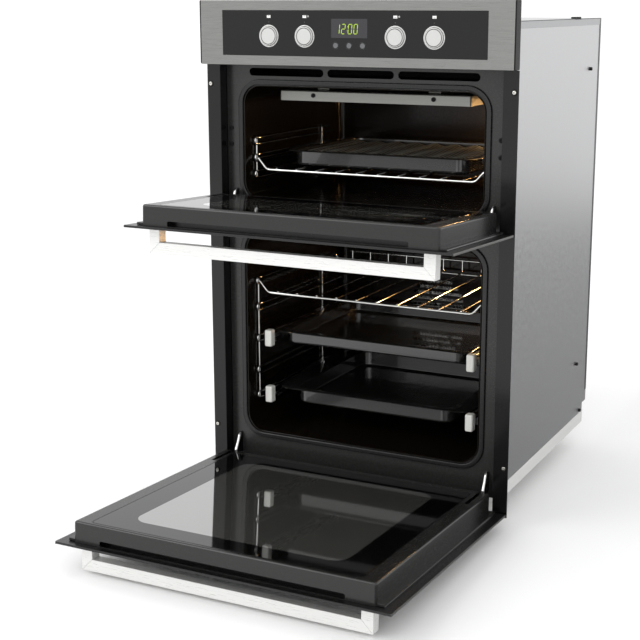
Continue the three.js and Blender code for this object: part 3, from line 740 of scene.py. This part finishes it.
# The faces in the groove take the painted shade.
for face in first_knob.data.polygons:
    from_axis = math.hypot(face.center.x * 1000, face.center.z * 1000 - knob_z)
    in_groove = knob_radius - 2.8 < from_axis < knob_radius - 1.7
    if face.center.y * 1000 < knob_low.y + 1.2 and in_groove:
        face.material_index = 1
# A shallow line at the top of the rim shows which way the knob points.
pointer = block("pointer", (-0.5, knob_low.y - 0.02, knob_z + knob_radius - 3.2),
                (0.5, knob_low.y + 0.25, knob_z + knob_radius - 1.2))
soften(pointer, 0.1, 1)
pointer.data.materials.append(pointer_paint)
first_knob = joined("knob", [first_knob, pointer])
for kind, x in knob_places.items():
    fit(copied(first_knob, f"{kind}_cap", (x, 0, 0)), None, f"{kind}_knob", "knob_plastic",
        f"{kind}_knob")
    fit(refined(f"{kind}_spindle", f"{kind}_shaft", 0.2, 1), spindle_steel, f"{kind}_spindle",
        "spindle_steel", f"{kind}_spindle")
bpy.data.objects.remove(first_knob)

button_low, button_high = corners("set_button")
button_plastic = finish("smoked_button_plastic", "#57595b", "#66686a", 1.5, (0.3, 0.4))
first_button = disc("button", (0, (button_low.y + button_high.y) / 2, button_z),
                    (button_high.x - button_low.x) / 2, button_high.y - button_low.y, "Y", 32)
pick(first_button, "FACE", lambda middle, way: way.y < -0.9)
bpy.ops.mesh.bevel(offset=0.0008, segments=3, affect="EDGES")
pick(first_button, "FACE", lambda middle, way: way.y < -0.99)
sink((1.2, 0), (1.2, -0.3))
leave_edit()
for word, x in button_places.items():
    fit(copied(first_button, f"{word}_key", (x, 0, 0)), button_plastic, f"{word}_button",
        "knob_plastic", f"{word}_button")
bpy.data.objects.remove(first_button)


# Oven cavities. Each is a deep-drawn steel liner, open to the front, with large round corners.
# It is fired with black enamel inside and out.
# Black vitreous enamel: nearly black, glossy, with a faint orange peel 4 mm across.
cavity_enamel = finish("black_vitreous_enamel", "#0c0906", "#15100b", 4, (0.12, 0.22), 0.03,
                       detail=2, Specular_IOR_Level=0.22)
pan_enamel = finish("grey_pan_enamel", "#1b1b1b", "#262625", 3, (0.16, 0.24), 0.01, detail=2,
                    Coat_Weight=1.0, Coat_Roughness=0.04)
cavity_wall = 1.8
for oven in ("top", "main"):
    low, high = corners(f"{oven}_cavity")
    inset_low = (low.x + cavity_wall, low.y, low.z + cavity_wall)
    inset_high = (high.x - cavity_wall, high.y - cavity_wall, high.z - cavity_wall)
    liner = block(f"{oven}_liner", inset_low, inset_high)
    round_along(liner, "Y", 33, 12)
    open_side(liner, "Y", -1)
    pick(liner, "FACE", lambda middle, way: way.y > 0.99)
    bpy.ops.mesh.region_to_loop()
    bevel(14, 6)
    thicken(liner, cavity_wall, outward=True)
    soften(liner, 0.5, 1, 60)
    fit(liner, cavity_enamel, "cabinet", "cavity_enamel", f"{oven}_cavity", smooth=40)


# Door seals. A silicone rubber bulb runs round each oven's mouth and is hooked to the frame
# plate, so the door closes on it.
silicone = finish("silicone_rubber", "#060606", "#0c0c0c", 1.5, (0.22, 0.32), 0.01)
seal_width = 9
for oven in ("top", "main"):
    low, high = corners(f"{oven}_seal")
    seal = block(f"{oven}_gasket", low, high)
    round_along(seal, "Y", 45, 12)
    pick(seal, "FACE", lambda middle, way: abs(way.y) > 0.99)
    sink((seal_width, 0))
    bpy.ops.mesh.delete(type="FACE")
    bpy.ops.mesh.select_mode(type="EDGE")
    bpy.ops.mesh.select_non_manifold()
    bpy.ops.mesh.bridge_edge_loops()
    leave_edit()
    # The front is a bulb: both of its edges are rolled over.
    soften(seal, 1.9, 4, 60)
    fit(seal, silicone, "cabinet", "seal_rubber", f"{oven}_seal", smooth=60)


# Side ladders. Chromed wire bent into racks that hook to the cavity walls: uprights at the
# front and the rear, and pairs of runners that turn back on themselves at the front.
# Chromed wire: a bright mirror with slight ripples from drawing.
chrome = finish("chromed_wire", "#d4d4d2", "#e4e4e2", 12, (0.06, 0.14), Metallic=1.0)
ladder_pitch = 12
ladder_levels = {"top": (540.5, 571.3, 602.5), "main": (113, 163, 225.5, 287, 338)}
for oven, levels in ladder_levels.items():
    for word, side in (("left", -1), ("right", 1)):
        low, high = corners(f"{oven}_ladder_{word}")
        runner_x = side * 225.5
        upright_x = side * 229.2
        # The turned-back ends bend outward, so that a shelf slides out past them.
        bent_x = side * 228.6
        bend_y = low.y + 14.2
        runs = []
        for depth in (80, 348):
            runs.append([(upright_x, at(depth), low.z + 1), (upright_x, at(depth), high.z - 1)])
        for level in levels:
            top = level + ladder_pitch
            runs.append([(runner_x, high.y - 1, level), (runner_x, bend_y, level),
                         (bent_x, low.y + 2.2, level), (bent_x, low.y + 2.2, top),
                         (runner_x, bend_y, top), (runner_x, high.y - 1, top)])
        rack = wires(f"{oven}_rack_{word}", runs, 4.4, 5.9)
        fit(rack, chrome, "cabinet", "chromed_wire", f"{oven}_ladder_{word}", smooth=60)


# Shelves. Welded chromed wire: two bent cross bars and two side runners carry ten long wires,
# and the long wires turn up behind into a low fence.
shelf_side = 223.2
shelf_drop = 20
shelf_pitch = 41
shelf_rows = 10
shelf_front = at(76)
shelf_back = at(396)
shelf_rails = {"top": 576.4, "main": 343.1}
for oven, rail_z in shelf_rails.items():
    floor_z = rail_z - shelf_drop
    turn_x = shelf_side - shelf_drop * 0.9
    frame_runs = [
        [(-shelf_side, shelf_front, rail_z), (-turn_x, shelf_front, floor_z),
         (turn_x, shelf_front, floor_z), (shelf_side, shelf_front, rail_z),
         (shelf_side, shelf_back, rail_z), (turn_x, shelf_back, floor_z),
         (-turn_x, shelf_back, floor_z), (-shelf_side, shelf_back, rail_z),
         (-shelf_side, shelf_front, rail_z)]]
    heavy = wires("shelf_frame", frame_runs, 5, 7, rings=3)
    rods = []
    for i in range(shelf_rows):
        x = (i - (shelf_rows - 1) / 2) * shelf_pitch
        rods.append([(x, shelf_front - 1, floor_z + 2.2), (x, shelf_back + 5.3, floor_z + 2.2),
                     (x, shelf_back + 5.3, rail_z + 8)])
    light_wires = wires("shelf_wires", rods, 3.4, 7)
    fence_x = shelf_pitch * (shelf_rows - 1) / 2 + 4
    fence = wires("shelf_fence", [[(-fence_x, shelf_back + 5.8, rail_z + 7),
                                   (fence_x, shelf_back + 5.8, rail_z + 7)]], 4)
    rack = joined(f"{oven}_wire_shelf", [heavy, light_wires, fence])
    fit(rack, chrome, f"{oven}_shelf", "chromed_wire", f"{oven}_shelf", smooth=60)


# Grill. A bent steel reflector hangs from the roof of the upper oven on two feet, over a
# sheathed element that runs to and fro below it.
# Mill-finish steel: dull grey, faintly streaked by rolling.
mill_steel = finish("rolled_steel", "#7c7c78", "#949490", 5, (0.34, 0.46), 0.005,
                    stretch=(0.1, 1, 1), Metallic=0.9)
low, high = corners("grill_reflector")
roof_z = 703
reflector = block("grill_hood", (low.x, low.y, low.z), (high.x, high.y, roof_z))
open_side(reflector, "Z", -1)
pick(reflector, "EDGE", lambda middle, way: middle.z > roof_z - 1 or abs(way.z) > 0.99)
bevel(3, 4)
thicken(reflector, 1.2)
feet = [block("foot", (x - 12, at(120), roof_z - 0.3), (x + 12, at(150), high.z))
        for x in (-110, 110)]
for foot in feet:
    soften(foot, 1.5)
reflector = joined("grill_hood", [reflector, *feet])
fit(reflector, mill_steel, "cabinet", "stainless", "grill_reflector")
fit(screws("hood_screws", [(x, low.y - 0.8, 694) for x in (-118, 118)], 4, "Y", -1), shadow,
    "cabinet", "stainless")
# Heating element: an oxidised nickel-alloy sheath, brown-grey and matt.
sheath = finish("oxidised_sheath", "#3a3532", "#59524c", 3, (0.45, 0.6), 0.01, Metallic=0.8)
element_z = 692
element_pitch = 56
element_runs = 6
near_y = at(113) + element_pitch / 2
far_y = at(376) - element_pitch / 2
path = []
for i in range(element_runs):
    x = (i - (element_runs - 1) / 2) * element_pitch
    ends = (far_y, near_y) if i % 2 == 0 else (near_y, far_y)
    path += [Vector((x, y, element_z)) for y in ends]
    if i < element_runs - 1:
        turn_y = ends[1]
        sign = 1 if turn_y == far_y else -1
        for step in range(1, 12):
            a = math.pi * step / 12
            path.append(Vector((x + element_pitch / 2 * (1 - math.cos(a)),
                                turn_y + sign * element_pitch / 2 * math.sin(a), element_z)))
grill_rod = wires("grill_rod", [path], 6.8, rings=3)
fit(grill_rod, sheath, "cabinet", "heating_element", "grill_element", smooth=60)


# Pans. Pressed steel with a rolled rim, fired with black enamel: the grill pan on the upper
# shelf, and two oven trays that travel on their own rails.
def pressed_pan(name, node, half, floor_z, wall_y, corner):
    """A drawn pan: a rounded box opened at the top, with a flange that turns down at its edge."""
    low, high = corners(node)
    pan = block(name, (-half, wall_y[0], floor_z), (half, wall_y[1], high.z - 1.2))
    round_along(pan, "Z", corner, 8)
    open_side(pan, "Z", 1)
    pick(pan, "EDGE", lambda middle, way: middle.z < floor_z + 0.5)
    bevel(6, 5)
    bpy.ops.mesh.select_all(action="DESELECT")
    bpy.ops.mesh.select_mode(type="EDGE")
    bpy.ops.mesh.select_non_manifold()
    middle = ((low.x + high.x) / 2000, (low.y + high.y) / 2000, high.z / 1000)
    reach_x = (high.x - low.x) / (2 * half)
    reach_y = (high.y - low.y) / (wall_y[1] - wall_y[0])
    for share, drop in ((0.12, 1.2), (0.82, 0), (1, -1.2)):
        bpy.ops.mesh.extrude_edges_move(TRANSFORM_OT_translate={"value": (0, 0, drop / 1000)})
        now = pan_size(pan)
        bpy.ops.transform.resize(
            value=(2 * half * (1 + (reach_x - 1) * share) / now[0],
                   (wall_y[1] - wall_y[0]) * (1 + (reach_y - 1) * share) / now[1], 1),
            center_override=middle)
    thicken(pan, 1.2)
    return pan


def pan_size(pan):
    """The width and length, in millimetres, of what is selected on a pan."""
    picked = [v.co * 1000 for v in bmesh.from_edit_mesh(pan.data).verts if v.select]
    return [max(p[i] for p in picked) - min(p[i] for p in picked) for i in (0, 1)]


pan_sizes = {
    "grill_pan": (174, 561.6, (at(118), at(384)), 24, "grill_pan"),
    "upper_tray": (180, 222, (at(98), at(400)), 16, "upper_tray"),
    "lower_tray": (161, 106, (at(98), at(400)), 24, "lower_tray"),
}
pan_names = {"grill_pan": "enamelled_grill_pan", "upper_tray": "upper_oven_tray",
             "lower_tray": "lower_oven_tray"}
for node, (half, floor_z, wall_y, corner, body) in pan_sizes.items():
    pan = pressed_pan(pan_names[node], node, half, floor_z, wall_y, corner)
    fit(pan, pan_enamel, body, "cavity_enamel", node, smooth=50)

# Grill grid: fine nickel-plated wires, waved so that food lies clear of the fat.
grid_wires = []
grid_z = 584
grid_half = 166
grid_pitch = 13.4
wave_high = 2.6
half_wave = 21
for i in range(19):
    y = at(130 + i * grid_pitch)
    grid_wires.append([(x, y, grid_z + wave_high * math.sin(x * math.pi / half_wave))
                       for x in range(-grid_half, grid_half + 1, 4)])
for x in (-grid_half + 4, 0, grid_half - 4):
    grid_wires.append([(x, at(126), grid_z - 3.4), (x, at(376), grid_z - 3.4)])
# Nickel-plated grid wire: softer and greyer than the shelves.
nickel = finish("nickel_plated_wire", "#6f6f69", "#8a8a83", 6, (0.28, 0.4), Metallic=0.6)
fit(wires("grill_grid", grid_wires, 2.0, rings=1), nickel, "grill_pan", "chromed_wire", smooth=60)


# Slide rails. Each tray hangs between two folded steel rails with a white cap on their front
# ends; the fixed half of each slide is hooked to the ladder.
bright_steel = finish("cold_rolled_steel", "#a9a9a7", "#c3c3c1", 4, (0.2, 0.32), 0.003,
                      stretch=(1, 0.1, 1), Metallic=1.0)
# Moulded cap: white heat-proof plastic with a slight sheen.
cap_plastic = finish("white_heatproof_plastic", "#e2e2dc", "#eeeee8", 2, (0.35, 0.45), 0.004)
for level in ("upper", "lower"):
    for word, side in (("left", -1), ("right", 1)):
        low, high = corners(f"{level}_rail_{word}")
        middle_z = (low.z + high.z) / 2
        spans = sorted((side * 199, side * 208))
        rail = block(f"{level}_slide_bar_{word}", (spans[0], at(84.2), middle_z - 9),
                     (spans[1], high.y, middle_z + 11))
        pick(rail, "FACE", lambda middle, way: way.x * -side > 0.99)
        sink((3.5, 0), (0.8, -3))
        leave_edit()
        soften(rail, 1)
        cap = block("cap", (low.x, low.y, low.z), (high.x, at(84), high.z))
        round_along(cap, "Y", 3, 5)
        pick(cap, "FACE", lambda middle, way: way.y < -0.99)
        bpy.ops.mesh.bevel(offset=0.003, segments=5, affect="EDGES")
        leave_edit()
        fit(rail, bright_steel, f"{level}_tray", "rail_plastic", f"{level}_rail_{word}")
        fit(joined(f"{level}_rail_cap_{word}", [cap]), cap_plastic, f"{level}_tray", "rail_plastic")
        fixed = sorted((side * 209, side * 222.6))
        outer = block(f"{level}_fixed_slide_{word}", (fixed[0], at(90), middle_z - 7),
                      (fixed[1], at(360), middle_z + 7))
        pick(outer, "FACE", lambda middle, way: way.x * -side > 0.99)
        sink((2.5, 0), (0.5, -6))
        leave_edit()
        soften(outer, 0.8)
        fit(outer, bright_steel, "cabinet", "chromed_wire")


# Fan. A pressed cover hides the fan and its ring element on the main oven's rear wall; the motor
# sits behind the cavity.
low, high = corners("fan_cover")
cover = block("fan_shroud", low, high)
round_along(cover, "Y", 24, 8)
open_side(cover, "Y", 1)
pick(cover, "FACE", lambda middle, way: way.y < -0.99)
bpy.ops.mesh.region_to_loop()
bevel(6, 5)
thicken(cover, 1.2)
slot_rows = []
fan_z = 250
slot_pitch = 12
slots_radius = 58
for i in range(-4, 5):
    reach = math.sqrt(slots_radius ** 2 - (i * slot_pitch) ** 2)
    slot_z = fan_z + i * slot_pitch
    slot = block("slot", (-reach, low.y - 3, slot_z - 3), (reach, low.y + 4, slot_z + 3))
    slot_rows.append(slot)
cut(cover, *slot_rows)
fit(cover, cavity_enamel, "cabinet", "cavity_enamel", "fan_cover", smooth=45)
cover_screws = screws("shroud_screws", [
    (x, low.y - 0.8, z) for x in (-128, 128) for z in (142, 358)], 3.6, "Y", -1)
fit(cover_screws, bright_steel, "cabinet", "cavity_enamel")
fit(refined("fan_blade", "fan_wheel", 0.3, 1), bright_steel, "fan", "stainless", "fan_blade")
fit(refined("fan_motor", "motor_can", 0.8), galvanised, "cabinet", "galvanised_steel", "fan_motor")
hoop = ring("hoop", (0, at(432), fan_z), 96, 7.2)
tails = wires("tails", [[(x, at(432), 345), (x, at(447.4), 345)] for x in (-10, 10)], 6)
fit(joined("fan_heater", [hoop, tails]), sheath, "cabinet", "heating_element", "ring_element",
    smooth=60)


# Lamps. A warm bulb behind a screw-in glass dome on each rear wall.
# Lamp glass: cream and lit from inside.
lamp_glass = finish("lit_lamp_glass", "#ffd9a0", "#fff0cc", 6, (0.1, 0.2),
                    Emission_Color=linear("#ffbe6e"), Emission_Strength=6.0)
lamp_watts = {"top": 1.6, "main": 1.6}
for oven, watts in lamp_watts.items():
    low, high = corners(f"{oven}_lamp")
    middle = (low + high) / 2
    dome = disc(f"{oven}_lamp_dome", (middle.x, high.y - 2.5, middle.z), 26, 5, "Y", 40)
    pick(dome, "FACE", lambda at_point, way: way.y < -0.99)
    sink((2, 0), (0.8, 5), (2.2, 4), (4.5, 3), (6, 1.6), (6, 0.4))
    leave_edit()
    fit(dome, lamp_glass, "cabinet", "lamp_lens", f"{oven}_lamp", smooth=50)
    bpy.ops.object.light_add(
        type="POINT", location=(middle.x / 1000, (low.y - 22) / 1000, middle.z / 1000))
    glow = bpy.context.object
    glow.data.energy = watts
    glow.data.color = (1.0, 0.58, 0.24)
    glow.data.shadow_soft_size = 0.018


# Doors. Each is a steel-edged glass panel with an enamelled tray screwed to its back and a
# clear inner glass over it. Both hang open on two hinge arms.
door_turn = math.radians(87)
pivot_depth = 8
pivot_above = 10
doors = {"upper": (475, 748), "lower": (-21, 471)}
panel_thick = 4
front_half = corners("upper_door_panel")[1].x
tray_half = 268.5
tray_back = 39.9
glass_half = 240
glass_margin = (24, 20)
bar_half = 260
bar_wide = 20
# Inner panel enamel: satin, almost black, evenly sprayed.
door_enamel = finish("satin_door_enamel", "#161615", "#1f1f1e", 2, (0.2, 0.28), 0.003)
# Black door paint: the real black on the back and edges of the outer panel and round the glass, and
# painted shade on the duct behind the tray's slot.
inner_black_and_shade = finish("black_door_paint_and_painted_shade", "#0a0a0a", "#121212", 2, (0.25, 0.35), 0.004)
# Brushed aluminium with a clear satin coat: almost white, with soft wide highlights.
handle_satin = finish("satin_aluminium", "#dededc", "#eaeae8", 0.8, (0.26, 0.36), 0.002,
                      stretch=(0.03, 1, 1), Metallic=0.35)
# Phosphated hinge steel: dark, with a thin oily shine.
hinge_dark = finish("phosphated_hinge_steel", "#242424", "#343433", 6, (0.22, 0.34), 0.004,
                    Metallic=0.9)


def printed_glass(name, middle, tilt, half_x, half_z, corner):
    """Clear glass with a black border printed round a window. The window's grey is painted light:
    it stands in for the dimly lit inside of the door seen through the glass.

    The window is a rounded oblong, worked out from the distance to its edge."""
    made = bpy.data.materials.new(name)
    made.use_nodes = True
    made.node_tree.nodes.clear()
    place = put(made, "ShaderNodeTexCoord", {}, {})
    centred = put(made, "ShaderNodeMapping", {"vector_type": "TEXTURE"}, {
        "Vector": place.outputs["Object"], "Location": [v / 1000 for v in middle],
        "Rotation": (tilt, 0, 0)})
    folded = put(made, "ShaderNodeVectorMath", {"operation": "ABSOLUTE"}, {
        0: centred.outputs["Vector"]})
    beyond = put(made, "ShaderNodeVectorMath", {"operation": "SUBTRACT"}, {
        0: folded.outputs["Vector"],
        1: ((half_x - corner) / 1000, 1, (half_z - corner) / 1000)})
    outside = put(made, "ShaderNodeVectorMath", {"operation": "MAXIMUM"}, {
        0: beyond.outputs["Vector"], 1: (0, 0, 0)})
    distance = put(made, "ShaderNodeVectorMath", {"operation": "LENGTH"}, {
        0: outside.outputs["Vector"]})
    border = put(made, "ShaderNodeMapRange", {}, {
        "Value": distance.outputs["Value"], "From Min": (corner - 0.3) / 1000,
        "From Max": (corner + 0.3) / 1000})
    # The window also mirrors in the pane behind it, so it shines twice.
    second = put(made, "ShaderNodeMapRange", {}, {
        "Value": border.outputs["Result"], "To Min": 1.0, "To Max": 0.0})
    smear = put(made, "ShaderNodeTexNoise", {}, {
        "Vector": place.outputs["Object"], "Scale": 9, "Detail": 3})
    # The window's grey is painted light: the dim inside of the door as seen through the glass,
    # drifting with the smear.
    inside = put(made, "ShaderNodeMix", {"data_type": "RGBA"}, {
        "Factor": smear.outputs["Fac"], "A": linear("#343432"), "B": linear("#41413e")})
    tone = put(made, "ShaderNodeMix", {"data_type": "RGBA"}, {
        "Factor": border.outputs["Result"], "A": inside.outputs["Result"], "B": linear("#060606")})
    rough = put(made, "ShaderNodeMapRange", {}, {
        "Value": smear.outputs["Fac"], "To Min": 0.02, "To Max": 0.07})
    surface = put(made, "ShaderNodeBsdfPrincipled", {}, {
        "Base Color": tone.outputs["Result"], "Roughness": rough.outputs["Result"], "IOR": 1.5,
        "Coat Weight": second.outputs["Result"], "Coat IOR": 3.2, "Coat Roughness": 0.03})
    put(made, "ShaderNodeOutputMaterial", {}, {"Surface": surface.outputs["BSDF"]})
    return made


for word, (bottom, top) in doors.items():
    body = f"{word}_door"
    pivot = Vector((0, at(pivot_depth), bottom + pivot_above))
    swing = (Matrix.Translation(pivot / 1000) @ Matrix.Rotation(door_turn, 4, "X")
             @ Matrix.Translation(-pivot / 1000))

    # Outer panel: a glass sheet in a stainless frame, black on the side towards the tray.
    panel = block(f"{word}_outer_panel", (-front_half, at(0), bottom),
                  (front_half, at(panel_thick), top))
    round_along(panel, "Y", 2, 3)
    pick(panel, "FACE", lambda middle, way: way.y < -0.99)
    sink((42, 0), (0.6, -0.6))
    leave_edit()
    soften(panel, 0.5)
    for surface in (stainless, inner_black_and_shade, black_glass):
        panel.data.materials.append(surface)
    for face in panel.data.polygons:
        if face.normal.y > 0.9 or abs(face.normal.z) > 0.9:
            face.material_index = 1
        elif face.normal.y < -0.9 and face.center.y * 1000 > at(0.4):
            face.material_index = 2
    panel.data.transform(swing)
    fit(panel, None, body, "stainless", f"{word}_door_panel")

    # Tray: drawn steel, open towards the outer panel, with a seat for the inner glass, a
    # cooling slot along its top and a slot in each lower corner for the hinge.
    tray_low = bottom + 4
    tray_high = top - 12
    shell = block(f"{word}_door_tray", (-tray_half, at(panel_thick + 0.3), tray_low),
                  (tray_half, at(tray_back), tray_high))
    round_along(shell, "Y", 5, 4)
    open_side(shell, "Y", -1)
    pick(shell, "FACE", lambda middle, way: way.y > 0.99)
    bpy.ops.mesh.region_to_loop()
    bevel(4, 5)
    thicken(shell, 1.5)
    glass_low_z = bottom + glass_margin[0]
    glass_high_z = top - glass_margin[1]
    seat = block("seat", (-glass_half - 1, at(30), glass_low_z - 1),
                 (glass_half + 1, at(50), glass_high_z + 1))
    round_along(seat, "Y", 9, 4)
    leave_edit()
    vent = block("vent", (-218, at(5.2), tray_high - 8), (218, at(14.4), tray_high + 8))
    round_along(vent, "Z", 3, 4)
    leave_edit()
    pockets = [block("pocket", (side * hinge_x - 3.8, at(0), tray_low - 3),
                     (side * hinge_x + 3.8, at(60), bottom + 80)) for side in (-1, 1)]
    cut(shell, seat, vent, *pockets)
    feet = []
    for side in (-1, 1):
        spans = sorted((side * (tray_half - 2), side * (tray_half + 12)))
        foot = block("foot", (spans[0], at(panel_thick + 0.3), tray_low + 3),
                     (spans[1], at(panel_thick + 5), tray_high - 3))
        pick(foot, "FACE", lambda middle, way: way.x * side > 0.99)
        sink((1.2, -1.2))
        leave_edit()
        soften(foot, 1.1, 3)
        foot.data.materials.append(door_enamel)
        feet.append(foot)
    # A black duct behind the slot leads the cooling air past the glass. Its black is painted shade,
    # so that the slot reads dark.
    painted_shade_duct = block("painted_shade_duct", (-224, at(panel_thick + 0.5), tray_high - 17),
                 (224, at(15), tray_high - 1.6))
    open_side(painted_shade_duct, "Z", 1)
    thicken(painted_shade_duct, 0.8)
    painted_shade_duct.data.materials.append(inner_black_and_shade)
    lining = block("lining", (-glass_half - 6, at(27), glass_low_z - 6),
                   (glass_half + 6, at(30), glass_high_z + 6))
    round_along(lining, "Y", 9, 4)
    leave_edit()
    soften(lining, 0.6)
    shell.data.materials.append(door_enamel)
    lining.data.materials.append(inner_black_and_shade)
    shell = joined(f"{word}_door_tray", [shell, *feet, painted_shade_duct, lining])
    shell.data.transform(swing)
    fit(shell, None, body, "frame_enamel", f"{word}_door_frame", smooth=45)

    # Inner glass: lies flush in the tray with a dark joint round it.
    pane = block(f"{word}_inner_pane", (-glass_half, at(36.3), glass_low_z),
                 (glass_half, at(40.1), glass_high_z))
    round_along(pane, "Y", 8, 6)
    leave_edit()
    soften(pane, 0.6)
    pane.data.transform(swing)
    middle = swing @ (Vector((0, at(38), (glass_low_z + glass_high_z) / 2)) / 1000) * 1000
    border = 40
    glass = printed_glass(f"{word}_printed_glass", middle, door_turn, glass_half - 50,
                          (glass_high_z - glass_low_z) / 2 - border, 28)
    fit(pane, glass, body, "black_glass", f"{word}_door_glass")

    # Handle: a square tube mitred into two posts, brushed and lacquered.
    bar_high = top - 22
    bar_low = bar_high - bar_wide
    out = at(-44)
    tube = block(f"{word}_handle_bar", (-bar_half, out, bar_low),
                 (bar_half, out + bar_wide, bar_high))
    posts = []
    for side in (-1, 1):
        spans = sorted((side * bar_half, side * (bar_half - bar_wide)))
        posts.append(block("post", (spans[0], out, bar_low), (spans[1], at(-0.3), bar_high)))
    mitres = ((tube, -1, True), (tube, 1, True), (posts[0], -1, False), (posts[1], 1, False))
    for part, side, inner in mitres:
        take(part)
        bpy.ops.object.mode_set(mode="EDIT")
        bpy.ops.mesh.select_all(action="SELECT")
        bpy.ops.mesh.bisect(
            plane_co=(side * bar_half / 1000, out / 1000, 0),
            plane_no=(side, 1, 0) if inner else (-side, -1, 0),
            use_fill=True, clear_outer=True)
        leave_edit()
    for part in (tube, *posts):
        soften(part, 0.8)
    grip = joined(f"{word}_handle_bar", [tube, *posts])
    grip.data.transform(swing)
    fit(grip, handle_satin, body, "handle_aluminium", f"{word}_door_handle")

    for hand in ("left", "right"):
        fit(refined(f"{word}_hinge_{hand}", f"{word}_hinge_arm_{hand}", 0.8), hinge_dark, "cabinet",
            "hinge_steel", f"{word}_hinge_{hand}")
        # A bright spring link lies along the upper edge of the arm, inside the door's pocket.
        link_x = hinge_x if hand == "right" else -hinge_x
        hook_z = corners(f"{word}_hinge_{hand}")[1].z
        link = wires(f"{word}_hinge_link_{hand}", [[
            (link_x, at(24), hook_z - 30), (link_x, at(30), hook_z - 20),
            (link_x, at(37), hook_z - 5), (link_x, at(42), hook_z - 1)]], 6.4, 4)
        fit(link, chrome, "cabinet", "hinge_steel", smooth=60)
